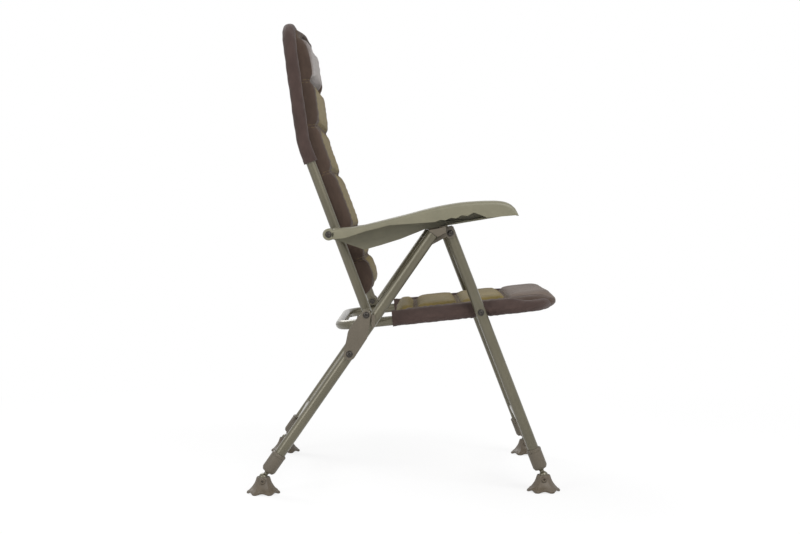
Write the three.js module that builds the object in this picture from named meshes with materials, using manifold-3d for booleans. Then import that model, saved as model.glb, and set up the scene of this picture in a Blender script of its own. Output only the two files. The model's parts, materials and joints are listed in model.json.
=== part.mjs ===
// A reclining carp fishing chair: a padded seat and back on bent tubes, two A-frames of legs that fold
// under the seat, armrests that slide over the tops of the legs, and four legs that lengthen and stand on
// swivelling mud feet. Millimetres, +Z up, the sitter faces -Y, and the sitter's right hand is at -X. The
// origin is on the floor, in the middle of the four feet.

import * as THREE from 'three';
import { mergeVertices } from 'three/addons/utils/BufferGeometryUtils.js';
import Module from 'manifold-3d';

const wasm = await Module();
wasm.setup();

const degrees = THREE.MathUtils.degToRad;

// Pivots in side view, forward of the middle of the feet and up from the floor
const apexForward = 104.7;
const apexHeight = 589;
const seatBoltForward = 174.3;
const seatBoltHeight = 409;
const hingeForward = -84.4;
const hingeHeight = 406;
const linkBoltHeight = 318;
const rearFootForward = -318.4;
const rearTopBehind = 39.9;
const rearTopBelow = 1.6;
const armBoltBelow = 2.64;
const armBoltLean = degrees(115);

// Seat frame, a closed loop of tube, measured along its own pitch from the front bolts
const frameRadius = 11;
const seatSideOut = 228;
const seatPitch = degrees(6);
const seatFrontReach = 157;
const seatRearReach = 325;
const seatCornerRadius = 62;

// Back frame, a hoop of tube that bends forward half way up
const backSideOut = 222;
const backLean = degrees(110.6);
const backBend = degrees(12.8);
const backBendReach = 417;
const backBendRadius = 170;
const backUpperReach = 266.5;
const backCornerRadius = 74;

// Lugs welded to the two frames
const lugInset = 5;
const seatLugThickness = 6;
const seatLugFoot = 56;
const armLugThickness = 7;
const armLugRadius = 9;

// Legs and the bars between them
const legRadius = 12.5;
const legWall = 1.6;
const layerGap = 5;
const spacerThickness = 2;
const frontLegTop = 9;
const crossbarRadius = 8;
const crossbarHeight = 129;

// Feet and the balls that they swivel on
const ballHeight = 36;
const ballRadius = 10.5;
const footRadius = 38;
const footRim = 4.5;
const footLip = 2;
const footSocketWall = 3.4;
const footShoulderShares = [[0.84, 0.2], [0.58, 0.42], [0.46, 0.7]];

// Inner legs, collars and their levers, measured up each leg from its ball
const innerLegRadius = 10.2;
const innerLegWall = 1.6;
const innerLegTop = 200;
const neckRadius = 5;
const neckTop = 13;
const shoulderTop = 18;
const collarRadius = 16;
const collarLip = 0.8;
const collarLow = 17;
const collarLength = 49;
const tubeSeat = 43;
const leverPinDrop = 8;
const leverPinRadius = 2.3;
const leverEye = 4.2;
const leverThickness = 4;
const leverWidth = 15;
const leverFlare = 5;
const earThickness = 3;
const earRadius = 5;

// Bolts
const boltRadius = 4;
const spacerRadius = 5.6;
const headRadius = 7.5;
const headHeight = 4;
const nutHeight = 5;
const fitGap = 0.3;
const overrun = 1;

// Link plates and the stops that they rest on
const linkThickness = 6;
const linkHeadRadius = 11;
const linkTailRadius = 14;
const linkCrestShare = 0.54;
const linkHeelShare = 0.348;
const linkBellyShare = 0.444;
const linkBossRadius = 9;
const bumperHeight = 3;
const bumperWidth = 8;
const bumperLength = 27;

// Brackets that join each rear leg's top end to the front leg
const bracketEye = 12;
const bracketRise = 17.4;
const bracketLip = 1.5;
const bracketTab = 26;
const plugLength = 28;
const capLength = 5.5;
const capPlug = 4;

// Armrests in side view, as shares of their length and height from the arm bolt
const armLength = 425;
const armHeight = 77;
const armWall = 4;
const armIn = 246;
const armOut = 306;
const armEdge = 2.4;
const armBossRadius = 13.5;
const armTopShares = [
	[0.02, 0.175], [0.153, 0.235], [0.29, 0.425], [0.424, 0.61], [0.539, 0.783],
	[0.621, 0.874], [0.704, 0.947], [0.81, 0.985], [0.9, 0.99], [0.95, 0.93], [0.985, 0.76],
	[1, 0.57],
];
const armEdgeShares = [
	[0.835, 0.488], [0.765, 0.642], [0.729, 0.538], [0.7, 0.562], [0.672, 0.465], [0.645, 0.488],
	[0.614, 0.412], [0.587, 0.423], [0.56, 0.362], [0.46, 0.322], [0.322, 0.273], [0.188, 0.085],
	[0.087, -0.105],
];
const railShares = [[0.06, -0.22], [0.185, -0.46], [0.269, -0.33], [0.375, -0.148]];
const railEndShare = 0.94;
const rackClearance = 0.63;
const rackSlope = degrees(9.5);
const rackPitch = 20.5;
const rackNotches = 6;
const rackDepth = 4;
const rackHeight = 12;
const rackWidth = 12;

// Seat pad and the sleeves beside it, as heights over the axis of the side tubes
const softGap = 1.2;
const seatPadRear = 202;
const seatPadFront = 175;
const seatPadSide = 24;
const seatPadCrown = 13;
const seatPadPlump = 6;
const seatPadRim = 7;
const seatPadUnder = 7;
const seatPadNose = 46;
const seatPadTail = 30;
const seatPadEdge = 18;
const seatSeamShares = [0.143, 0.404, 0.69];
const sleeveWall = 2;
const sleeveRadius = frameRadius + sleeveWall;
const sleeveRise = 24;
const sleeveFront = 92;
const sleeveNotch = 36;

// Back pad, pillow and the cloth behind them, as distances along and in front of the back's side tubes
const panelThickness = 8;
const panelFoot = 96;
const panelTop = 660;
const panelInset = 18;
const backPadFoot = 34;
const backPadTop = 692;
const backPadFront = 32;
const backPadRear = 5.5;
const backPadPlump = 7;
const backPadEdge = 18;
const backPadCorner = 52;
const backSeamShares = [0.131, 0.246, 0.457, 0.637, 0.796, 0.957];
const backFrontShares = [0.9, 1, 1, 1, 1, 0.39, 0.8];
const pillowBlock = 5;
const backSleeveWall = 4.5;
const backSleeveRadius = frameRadius + backSleeveWall;
const backSleeveFoot = 368;
const pillowWidth = 350;
const pillowThickness = 18;
const pillowEdge = 16;
const seamWidth = 18;

// Sides of round sections, and steps round a bend
const tubeSides = 14;
const roundSides = 16;
const boltSides = 10;
const footSides = 18;
const ballSteps = 4;
const bendSteps = 6;
const plateSteps = 5;
const roundOffShares = [0, 0.134, 0.5, 1];

// Colours and finishes
const paint = new THREE.MeshStandardMaterial({ color: 0x5f5d4b, roughness: 0.38, metalness: 0.35 });
const moulding = new THREE.MeshStandardMaterial({ color: 0x77755f, roughness: 0.55, metalness: 0 });
const darkMoulding = new THREE.MeshStandardMaterial({ color: 0x4d4a3f, roughness: 0.6, metalness: 0 });
const steel = new THREE.MeshStandardMaterial({ color: 0x2b2926, roughness: 0.4, metalness: 0.8 });
const brownCloth = new THREE.MeshStandardMaterial({ color: 0x3a2b2a, roughness: 0.9, metalness: 0 });
const khakiCloth = new THREE.MeshStandardMaterial({ color: 0x7d7048, roughness: 0.9, metalness: 0 });
const pillowCloth = new THREE.MeshStandardMaterial({ color: 0x6e5d60, roughness: 0.92, metalness: 0 });

// Points in side view: x is forward and y is up, with directions as angles from forward
const flat = (forward, height) => new THREE.Vector2(forward, height);
const stepped = (start, angle, reach, offset = 0) => flat(
	start.x + reach * Math.cos(angle) + offset * Math.sin(angle),
	start.y + reach * Math.sin(angle) - offset * Math.cos(angle),
);
const headingOf = (from, to) => Math.atan2(to.y - from.y, to.x - from.x);

const apex = flat(apexForward, apexHeight);
const seatBolt = flat(seatBoltForward, seatBoltHeight);
const hinge = flat(hingeForward, hingeHeight);
const armBoltReach = (apexHeight - armBoltBelow - hingeHeight) / Math.sin(armBoltLean);
const armBolt = stepped(hinge, armBoltLean, armBoltReach);
const rearBall = flat(rearFootForward, ballHeight);
const rearTop = flat(apexForward - rearTopBehind, apexHeight - rearTopBelow);
const rearHeading = headingOf(rearBall, rearTop);
const linkBolt = stepped(rearBall, rearHeading, (linkBoltHeight - ballHeight) / Math.sin(rearHeading));
const linkLength = hinge.distanceTo(linkBolt);
const frontHeading = headingOf(seatBolt, apex);
const frontBall = stepped(seatBolt, frontHeading, (ballHeight - seatBoltHeight) / Math.sin(frontHeading));

// Layers across the chair, from the middle outwards
const frontLegOut = seatSideOut + frameRadius + spacerThickness + 2 * fitGap + legRadius;
const plateIn = frontLegOut + legRadius + fitGap;
const plateOut = frontLegOut + legRadius + layerGap - fitGap;
const rearLegOut = frontLegOut + layerGap + 2 * legRadius;
const linkIn = rearLegOut + legRadius + bumperHeight / 2;
const linkOut = linkIn + linkThickness;

// The right-hand place of a point in side view, at a distance from the middle
const spot = (point, out = 0) => new THREE.Vector3(-out, -point.x, point.y);

const chair = new THREE.Group();
chair.name = 'carp_chair';

// A closed geometry as a solid, and a solid as a geometry
function solid(geometry) {
	const bare = geometry.clone();
	bare.deleteAttribute('normal');
	bare.deleteAttribute('uv');
	const merged = mergeVertices(bare, 1e-4);
	const vertProperties = new Float32Array(merged.attributes.position.array);
	const triVerts = new Uint32Array(merged.index.array);
	return new wasm.Manifold(new wasm.Mesh({ numProp: 3, vertProperties, triVerts }));
}

function geometryOf(body) {
	const { vertProperties, triVerts } = body.getMesh();
	const geometry = new THREE.BufferGeometry();
	geometry.setAttribute('position', new THREE.BufferAttribute(new Float32Array(vertProperties), 3));
	geometry.setIndex(new THREE.BufferAttribute(new Uint32Array(triVerts), 1));
	geometry.computeVertexNormals();
	return geometry;
}

const joined = (...geometries) =>
	geometryOf(geometries.map(solid).reduce((whole, next) => whole.add(next)));

const cutBy = (geometry, ...tools) =>
	geometryOf(tools.map(solid).reduce((whole, next) => whole.subtract(next), solid(geometry)));

// The same geometry on the other side of the chair
function mirrored(geometry) {
	const twin = geometryOf(solid(geometry));
	twin.scale(-1, 1, 1);
	const index = twin.index.array;
	for (let i = 0; i < index.length; i += 3) {
		[index[i], index[i + 1]] = [index[i + 1], index[i]];
	}
	return twin;
}

function add(name, geometry, material, position = new THREE.Vector3(), tilt = 0) {
	const mesh = new THREE.Mesh(geometry, material);
	mesh.name = name;
	mesh.position.copy(position);
	mesh.rotation.x = tilt;
	chair.add(mesh);
}

// A right-hand piece and its mirror image
function addPair(name, geometry, material, position = new THREE.Vector3(), tilt = 0) {
	add(`${name}_right`, geometry, material, position, tilt);
	add(`${name}_left`, mirrored(geometry), material, spot(flat(-position.y, position.z), position.x), tilt);
}

// A path of straight runs with rounded corners, stepped only where it bends
class BentPath extends THREE.Curve {
	constructor(corners, radii) {
		super();
		this.knots = [corners[0].clone()];
		for (let i = 1; i < corners.length - 1; i += 1) {
			const back = corners[i - 1].clone().sub(corners[i]).normalize();
			const on = corners[i + 1].clone().sub(corners[i]).normalize();
			const half = back.angleTo(on) / 2;
			const bisector = back.clone().add(on).normalize();
			const centre = corners[i].clone().addScaledVector(bisector, radii[i - 1] / Math.sin(half));
			const start = corners[i].clone().addScaledVector(back, radii[i - 1] / Math.tan(half)).sub(centre);
			const end = corners[i].clone().addScaledVector(on, radii[i - 1] / Math.tan(half)).sub(centre);
			const axis = start.clone().cross(end).normalize();
			const steps = Math.max(2, Math.round((bendSteps * start.angleTo(end) * 2) / Math.PI));
			for (let k = 0; k <= steps; k += 1) {
				this.knots.push(start.clone().applyAxisAngle(axis, (start.angleTo(end) * k) / steps).add(centre));
			}
		}
		this.knots.push(corners.at(-1).clone());
	}

	get steps() {
		return this.knots.length - 1;
	}

	getPoint(share, target = new THREE.Vector3()) {
		const place = Math.min(share, 1) * this.steps;
		const first = Math.min(Math.floor(place), this.steps - 1);
		return target.lerpVectors(this.knots[first], this.knots[first + 1], place - first);
	}

	getPointAt(share, target) {
		return this.getPoint(share, target);
	}

	getTangentAt(share, target) {
		return this.getTangent(share, target);
	}
}

function polygon(radius, sides) {
	const turns = Array.from({ length: sides }, (_, i) => (2 * Math.PI * i) / sides);
	return turns.map((turn) => flat(radius * Math.cos(turn), radius * Math.sin(turn)));
}

function tubeAlong(path, radius, bore = 0) {
	const section = new THREE.Shape(polygon(radius, tubeSides));
	if (bore) section.holes.push(new THREE.Path(polygon(bore, tubeSides).reverse()));
	return new THREE.ExtrudeGeometry(section, { extrudePath: path, steps: path.steps, bevelEnabled: false });
}

// A body of revolution about +Z from pairs of radius and height
function turned(profile, sides = roundSides) {
	const points = profile.map(([radius, height]) => flat(radius, height));
	return new THREE.LatheGeometry(points, sides).rotateX(Math.PI / 2);
}

const pipe = (radius, bore, low, high) =>
	turned([[bore, low], [radius, low], [radius, high], [bore, high], [bore, low]]);

// A solid rod across the chair
function rodAcross(point, radius, outFrom, outTo, sides = boltSides) {
	const rod = new THREE.CylinderGeometry(radius, radius, outTo - outFrom, sides);
	return rod.rotateZ(Math.PI / 2).translate(-(outFrom + outTo) / 2, -point.x, point.y);
}

// Where an extrusion from side view lies: its own depth runs outwards on the right-hand side
function sideways(slab, outFrom) {
	const turn = new THREE.Matrix4().makeBasis(
		new THREE.Vector3(0, -1, 0), new THREE.Vector3(0, 0, 1), new THREE.Vector3(-1, 0, 0),
	);
	return slab.applyMatrix4(turn).translate(-outFrom, 0, 0);
}

// A plate cut to an outline in side view, between two distances from the middle
function plate(outline, outFrom, outTo) {
	const shape = outline instanceof THREE.Shape ? outline : new THREE.Shape(outline);
	const slab = new THREE.ExtrudeGeometry(shape, {
		depth: outTo - outFrom, bevelEnabled: false, curveSegments: plateSteps,
	});
	return sideways(slab, outFrom);
}

// The outline of a strap round two circles
function strap(from, to, fromRadius, toRadius) {
	const heading = headingOf(from, to);
	const spread = Math.acos((fromRadius - toRadius) / from.distanceTo(to));
	const shape = new THREE.Shape();
	shape.absarc(to.x, to.y, toRadius, heading - spread, heading + spread, false);
	shape.absarc(from.x, from.y, fromRadius, heading + spread, heading - spread + 2 * Math.PI, false);
	shape.closePath();
	return shape;
}

// A screw across the chair, with a domed head from outHead outwards
function screwAcross(point, outHead, outTip) {
	const head = turned([
		[0, 0], [headRadius, 0], [headRadius, headHeight * 0.45], [headRadius * 0.72, headHeight],
		[0, headHeight],
	], boltSides);
	head.rotateY(-Math.PI / 2).translate(-outHead, -point.x, point.y);
	return joined(head, rodAcross(point, boltRadius, outTip, outHead + headHeight / 2));
}

// A bolt is a screw with a nut from outNut inwards
const boltAcross = (point, outHead, outNut) => joined(
	screwAcross(point, outHead, outNut - nutHeight / 2),
	rodAcross(point, headRadius, outNut - nutHeight, outNut, 6),
);

const holeAcross = (point, outFrom = -armOut, outTo = armOut) =>
	rodAcross(point, boltRadius + fitGap, outFrom, outTo);

// Seat frame: two hairpins of tube that meet at the front bolts, and a lug for each hinge bolt
const seatSide = (along, lift) => stepped(seatBolt, seatPitch, along, -lift);
const seatAt = (along, out, lift = 0) => spot(seatSide(along, lift), out);

function seatHairpin(end) {
	const lap = -Math.sign(end) * frameRadius;
	const corners = [
		seatAt(lap, seatSideOut), seatAt(end, seatSideOut),
		seatAt(end, -seatSideOut), seatAt(lap, -seatSideOut),
	];
	return new BentPath(corners, [seatCornerRadius, seatCornerRadius]);
}

const seatFront = seatHairpin(seatFrontReach);
const seatRear = seatHairpin(-seatRearReach);
const seatLugIn = seatSideOut + frameRadius - lugInset;
const seatLugOut = seatLugIn + seatLugThickness;

function seatLug() {
	const middle = (hinge.x - seatBolt.x) / Math.cos(seatPitch);
	const shape = new THREE.Shape([
		seatSide(middle - seatLugFoot / 2, 0), seatSide(middle + seatLugFoot / 2, 0),
	]);
	shape.absarc(hinge.x, hinge.y, frameRadius, 0, Math.PI, false);
	shape.closePath();
	return plate(shape, seatLugIn, seatLugOut);
}

add('seat_frame', cutBy(
	joined(
		tubeAlong(seatFront, frameRadius), tubeAlong(seatRear, frameRadius), seatLug(), mirrored(seatLug()),
	),
	holeAcross(seatBolt), holeAcross(hinge),
), paint);

// Back frame: a hoop of tube from hinge to hinge, with an eye at each end and a lug for each arm bolt
const backUpHeading = backLean - backBend;
const backKnee = stepped(hinge, backLean, backBendReach);
const backTop = stepped(backKnee, backUpHeading, backUpperReach);

function backHoop(foot) {
	const start = stepped(hinge, backLean, foot);
	const corners = [
		spot(start, backSideOut), spot(backKnee, backSideOut), spot(backTop, backSideOut),
		spot(backTop, -backSideOut), spot(backKnee, -backSideOut), spot(start, -backSideOut),
	];
	return new BentPath(corners, [backBendRadius, backCornerRadius, backCornerRadius, backBendRadius]);
}

const armLugIn = backSideOut + frameRadius - lugInset;
const armLugOut = armLugIn + armLugThickness;

function armLug() {
	const root = stepped(hinge, backLean, armBoltReach * Math.cos(armBoltLean - backLean));
	const web = plate(strap(root, armBolt, frameRadius, armLugRadius), armLugIn, armLugOut);
	return joined(web, rodAcross(armBolt, armLugRadius, armLugIn, armIn - fitGap));
}

const hingeEye = rodAcross(
	hinge, frameRadius, backSideOut - frameRadius, backSideOut + frameRadius, roundSides,
);
add('back_frame', cutBy(
	joined(
		tubeAlong(backHoop(0), frameRadius), hingeEye, mirrored(hingeEye), armLug(), mirrored(armLug()),
	),
	holeAcross(hinge), holeAcross(armBolt),
), paint);

// Legs: pipes whose own +Z runs up from the ball
const legBore = legRadius - legWall;
const rearLegLength = rearBall.distanceTo(rearTop);
const frontLegLength = frontBall.distanceTo(apex) + frontLegTop;
const rearTilt = Math.PI / 2 - rearHeading;
const frontTilt = Math.PI / 2 - frontHeading;
const rearAt = (along, offset = 0) => stepped(rearBall, rearHeading, along, offset);

const legTube = (length, ...holes) => cutBy(
	pipe(legRadius, legBore, tubeSeat, length), ...holes.map((height) => holeAcross(flat(0, height))),
);

addPair(
	'rear_leg', legTube(rearLegLength, rearBall.distanceTo(linkBolt)), paint,
	spot(rearBall, rearLegOut), rearTilt,
);
addPair(
	'front_leg', legTube(frontLegLength, frontBall.distanceTo(seatBolt), frontBall.distanceTo(apex)),
	paint, spot(frontBall, frontLegOut), frontTilt,
);

// Crossbars hold each pair of legs apart, butted against the tubes' inner faces
function crossbar(name, ball, heading, legOut) {
	const point = stepped(ball, heading, (crossbarHeight - ballHeight) / Math.sin(heading));
	const reach = legOut - legRadius - fitGap;
	add(name, rodAcross(point, crossbarRadius, -reach, reach, roundSides), paint);
}

crossbar('rear_crossbar', rearBall, rearHeading, rearLegOut);
crossbar('front_crossbar', frontBall, frontHeading, frontLegOut);

// Brackets: a plate between the two legs with the apex bolt's eye, a wedge over the rear leg's end and a plug
function bracket() {
	const tail = rearAt(rearLegLength + bracketLip, -legRadius);
	const brow = flat(apex.x + bracketEye * 0.3, apex.y + bracketRise);
	const browSlope = headingOf(tail, brow);
	const wedgeFront = apex.x - headRadius - 2 * bracketLip;
	const sheet = new THREE.Shape([
		tail, rearAt(rearLegLength - bracketTab, -legRadius * 0.8),
		rearAt(rearLegLength - bracketTab, legRadius * 0.8), rearAt(rearLegLength - bracketLip, legRadius),
	]);
	sheet.absarc(apex.x, apex.y, bracketEye, 1.25 * Math.PI, 2.3 * Math.PI, false);
	sheet.lineTo(brow.x, brow.y);
	sheet.closePath();
	const wedge = [
		tail, rearAt(rearLegLength + fitGap, -legRadius), rearAt(rearLegLength + fitGap, legRadius),
		flat(wedgeFront, apex.y + bracketLip),
		flat(wedgeFront, tail.y + (wedgeFront - tail.x) * Math.tan(browSlope)),
	];
	const plug = turned([
		[0, rearLegLength - plugLength], [legBore - fitGap, rearLegLength - plugLength],
		[legBore - fitGap, rearLegLength + bracketLip], [0, rearLegLength + bracketLip],
	]);
	plug.rotateX(rearTilt).translate(-rearLegOut, -rearBall.x, rearBall.y);
	return cutBy(
		joined(plate(sheet, plateIn, plateOut), plate(wedge, plateOut - overrun, rearLegOut + legRadius), plug),
		holeAcross(apex),
	);
}

addPair('apex_bracket', bracket(), darkMoulding);

// Caps close the tops of the front legs, under the armrests' racks
const capProfile = [
	[0, -capPlug], [legBore - fitGap, -capPlug], [legBore - fitGap, fitGap], [legRadius, fitGap],
	[legRadius, capLength * 0.3], [legRadius * 0.7, capLength * 0.8], [0, capLength],
];
addPair('front_leg_cap', turned(capProfile), darkMoulding,
	spot(stepped(frontBall, frontHeading, frontLegLength), frontLegOut), frontTilt);

// Links join the seat's hinge line to the rear legs, and rest on a stop fixed to each rear leg
function link() {
	const shape = new THREE.Shape();
	const crest = stepped(linkBolt, rearHeading, linkLength * linkCrestShare, linkTailRadius - bracketLip);
	const heel = stepped(
		linkBolt, rearHeading, linkLength * linkHeelShare, linkTailRadius - linkLength * linkBellyShare,
	);
	shape.absarc(linkBolt.x, linkBolt.y, linkTailRadius, -Math.PI * 0.95, rearHeading - Math.PI / 2, false);
	shape.lineTo(crest.x, crest.y);
	shape.absarc(hinge.x, hinge.y, linkHeadRadius, 0, Math.PI * 0.85, false);
	shape.quadraticCurveTo(heel.x, heel.y + linkTailRadius, heel.x, heel.y);
	shape.closePath();
	const bossIn = rearLegOut + legRadius + fitGap;
	const boss = rodAcross(linkBolt, linkBossRadius, bossIn, linkIn + overrun, roundSides);
	return cutBy(joined(plate(shape, linkIn, linkOut), boss), holeAcross(linkBolt), holeAcross(hinge));
}

addPair('link_plate', link(), darkMoulding);

function linkStop() {
	const front = hinge.x + linkHeadRadius + fitGap;
	const strip = new THREE.Shape([
		flat(front, hinge.y - bumperLength), flat(front + bumperWidth, hinge.y - bumperLength),
		flat(front + bumperWidth, hinge.y), flat(front, hinge.y),
	]);
	const tube = turned([
		[0, 0], [legRadius + fitGap, 0], [legRadius + fitGap, rearLegLength], [0, rearLegLength],
	]);
	tube.rotateX(rearTilt).translate(-rearLegOut, -rearBall.x, rearBall.y);
	return cutBy(plate(strip, rearLegOut + legRadius * 0.6, rearLegOut + legRadius + bumperHeight), tube);
}

addPair('link_stop', linkStop(), darkMoulding);

// Bolts of the folding linkage
const seatFace = seatSideOut + frameRadius + fitGap;
const seatInnerFace = seatSideOut - frameRadius - fitGap;
addPair('seat_bolt', boltAcross(seatBolt, frontLegOut + legRadius + fitGap, seatInnerFace), steel);
addPair('apex_bolt', boltAcross(apex, rearLegOut - legRadius, frontLegOut - legRadius - fitGap), steel);
addPair('link_bolt', boltAcross(linkBolt, linkOut + fitGap, rearLegOut - legRadius - fitGap), steel);
addPair('arm_bolt', screwAcross(armBolt, armOut + fitGap, armLugIn), steel);

const spacer = rodAcross(
	seatBolt, headRadius, seatFace, seatFace + spacerThickness - fitGap / 2, roundSides,
);
addPair('seat_spacer', cutBy(spacer, holeAcross(seatBolt)), darkMoulding);

// The hinge line has two bolts end to end: one in the seat and back, one in the link
const backInnerFace = backSideOut - frameRadius - fitGap;
addPair('hinge_bolt', joined(
	rodAcross(hinge, headRadius, backInnerFace - nutHeight, backInnerFace, 6),
	rodAcross(hinge, boltRadius, backInnerFace - nutHeight / 2, seatLugOut + overrun),
	rodAcross(hinge, spacerRadius, seatLugOut + fitGap, plateOut - fitGap),
), steel);
addPair('link_head_bolt', screwAcross(hinge, linkOut + fitGap, plateOut + fitGap), steel);

// Armrests: a bevelled shell open beneath, a boss on the arm bolt, a deeper inner rail and a rack of notches
const armAt = ([along, up]) => flat(armBolt.x + along * armLength, armBolt.y + up * armHeight);
const lowered = (points, drop) => points.map((point) => flat(point.x, point.y - drop));
const apexReach = apex.x - armBolt.x;
const rackFloor = apex.y + bracketEye + capLength + rackClearance;
const rackLine = (reach) => flat(
	armBolt.x + reach, rackFloor + (reach - apexReach) * Math.tan(rackSlope),
);

function armShell() {
	const outline = [...armTopShares.map(armAt), ...armEdgeShares.map(armAt)];
	const shape = new THREE.Shape(outline);
	shape.absarc(armBolt.x, armBolt.y, armBossRadius, -0.3 * Math.PI, 0.62 * Math.PI, true);
	shape.closePath();
	const block = sideways(new THREE.ExtrudeGeometry(shape, {
		depth: armOut - armIn - 2 * armEdge, curveSegments: 8,
		bevelThickness: armEdge, bevelSize: armEdge, bevelOffset: -armEdge, bevelSegments: 2,
	}), armIn + armEdge);
	const roof = lowered(armTopShares.slice(1, -1).map(armAt), armWall);
	const front = roof.at(-1);
	const cavity = [
		...roof, flat(front.x, armBolt.y - armHeight), flat(roof[0].x - armWall, armBolt.y - armHeight),
		flat(roof[0].x - armWall, roof[0].y - armWall),
	];
	return cutBy(block, plate(cavity, armIn + armWall, armOut - armWall));
}

function armRail() {
	const low = [...railShares.map(armAt), rackLine(apexReach * 0.79), rackLine(armLength * railEndShare)];
	const high = lowered(armTopShares.slice(1, -3).map(armAt), armWall / 2);
	return plate([...low, ...high.reverse()], armIn, armIn + armWall);
}

function armRack() {
	const first = apexReach - rackPitch;
	const last = apexReach + rackPitch * rackNotches;
	const low = [rackLine(first)];
	for (let notch = 0; notch < rackNotches; notch += 1) {
		const middle = apexReach + notch * rackPitch;
		const shares = [[-0.3, 0], [-0.2, rackDepth], [0.2, rackDepth], [0.3, 0]];
		low.push(...shares.map(([share, rise]) => rackLine(middle + share * rackPitch).add(flat(0, rise))));
	}
	low.push(rackLine(last));
	const high = [rackLine(last), rackLine(first)].map((point) => flat(point.x, point.y + rackHeight));
	return plate([...low, ...high], armIn + armWall - overrun, armIn + armWall + rackWidth);
}

const armBoss = rodAcross(armBolt, armBossRadius - armEdge, armIn + armEdge, armOut - armEdge);
addPair('armrest', cutBy(
	joined(armShell(), armRail(), armRack(), armBoss), holeAcross(armBolt),
), moulding);

// Telescopic lower legs, each with a ball that stands in a swivelling foot
const socketRadius = ballRadius + 2 * fitGap;
const arcPoints = (radius, from, to, steps) => Array.from({ length: steps + 1 }, (_, i) => {
	const turn = from + ((to - from) * i) / steps;
	return [radius * Math.cos(turn), radius * Math.sin(turn)];
});
const neckTurn = Math.acos(neckRadius / ballRadius);

const innerLeg = turned([
	[0, -ballRadius], ...arcPoints(ballRadius, -Math.PI / 2, neckTurn, ballSteps).slice(1),
	[neckRadius, neckTop], [innerLegRadius, shoulderTop], [innerLegRadius, innerLegTop],
	[innerLegRadius - innerLegWall, innerLegTop], [innerLegRadius - innerLegWall, tubeSeat], [0, tubeSeat],
]);

const lipTurn = Math.asin(footLip / socketRadius);
const foot = turned([
	[0, -ballHeight], [footRadius, -ballHeight], [footRadius, footRim - ballHeight],
	...footShoulderShares.map(([radius, height]) => [radius * footRadius, (height - 1) * ballHeight]),
	[socketRadius + footSocketWall, footLip], [socketRadius * Math.cos(lipTurn), footLip],
	...arcPoints(socketRadius, lipTurn, -Math.PI / 2, ballSteps).slice(1, -1), [0, -socketRadius],
], footSides);

// Collars clamp the telescopic legs: each has two ears with a pin, and a lever that presses on the inner leg
const collarTop = collarLow + collarLength;
const leverPin = flat(collarRadius + fitGap + leverEye, collarTop - leverPinDrop);
const earIn = leverWidth / 2 + fitGap;
const pinHole = rodAcross(leverPin, leverPinRadius + fitGap, -collarRadius, collarRadius);

function collar() {
	const shell = turned([
		[innerLegRadius + fitGap, collarLow], [collarRadius, collarLow],
		[collarRadius, collarTop - earRadius], [collarRadius + collarLip, collarTop - earRadius],
		[collarRadius + collarLip, collarTop], [legRadius + fitGap, collarTop],
		[legRadius + fitGap, tubeSeat - fitGap], [innerLegRadius + fitGap, tubeSeat - fitGap],
		[innerLegRadius + fitGap, collarLow],
	]);
	const root = flat(collarRadius, leverPin.y);
	const ear = plate(strap(root, leverPin, earRadius, earRadius), earIn, earIn + earThickness);
	const clearance = rodAcross(leverPin, leverEye + fitGap, -earIn, earIn, roundSides);
	return cutBy(joined(shell, ear, mirrored(ear)), clearance, pinHole);
}

function lever() {
	const low = flat(leverPin.x + leverFlare, collarLow);
	const bend = flat(leverPin.x, collarLow + 2 * leverEye);
	const shape = new THREE.Shape([
		flat(leverPin.x - leverThickness / 2, leverPin.y), flat(bend.x - leverThickness / 2, bend.y),
		flat(low.x - leverThickness / 2, low.y), flat(low.x + leverThickness / 2, low.y),
		flat(bend.x + leverThickness / 2, bend.y + leverEye), flat(leverPin.x + leverEye, leverPin.y),
	]);
	return cutBy(
		joined(plate(shape, -leverWidth / 2, leverWidth / 2),
			rodAcross(leverPin, leverEye, -leverWidth / 2, leverWidth / 2, roundSides)),
		pinHole,
	);
}

const leverPinRod = rodAcross(leverPin, leverPinRadius, -earIn - earThickness, earIn + earThickness);

const inwards = (geometry) => geometry.clone().rotateZ(Math.PI / 2);

for (const [end, ball, tilt, legOut] of [
	['rear', rearBall, rearTilt, rearLegOut],
	['front', frontBall, frontTilt, frontLegOut],
]) {
	const place = spot(ball, legOut);
	addPair(`${end}_inner_leg`, innerLeg, paint, place, tilt);
	addPair(`${end}_collar`, inwards(collar()), darkMoulding, place, tilt);
	addPair(`${end}_lever`, inwards(lever()), darkMoulding, place, tilt);
	addPair(`${end}_lever_pin`, inwards(leverPinRod), steel, place, tilt);
	addPair(`${end}_foot`, foot, darkMoulding, place);
}

// Soft parts are grids of points, rounded at their edges and drawn in along their seams
const roundOff = (distance, radius) => Math.sqrt(1 - (1 - Math.min(distance / radius, 1)) ** 2);
const risesFrom = (start, radius) => roundOffShares.map((share) => start + share * radius);
const blocksOf = (from, to, shares) => [from, ...shares.map((share) => from + share * (to - from)), to];

// Distances along a cushion: close together at its ends and at each seam
function stationsOf(seams, startRadius, endRadius) {
	const inner = seams.slice(1, -1).flatMap((seam) =>
		[-1, -0.45, 0, 0.45, 1].map((share) => seam + share * seamWidth));
	const all = [
		...risesFrom(seams[0], startRadius), ...inner, ...risesFrom(seams.at(-1), -endRadius),
	].sort((a, b) => a - b);
	return all.filter((station, i) => i === 0 || station - all[i - 1] > overrun);
}

const acrossShares = (edge) => {
	const side = roundOffShares.map((share) => share * edge - 1);
	return [...side, -0.45, 0, 0.45, ...side.map((share) => -share).reverse()];
};

// Half a cushion's width, drawn in round the corners at its far end
const narrowed = (halfWidth, room, corner) => halfWidth - corner * (1 - roundOff(room, corner));

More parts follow.
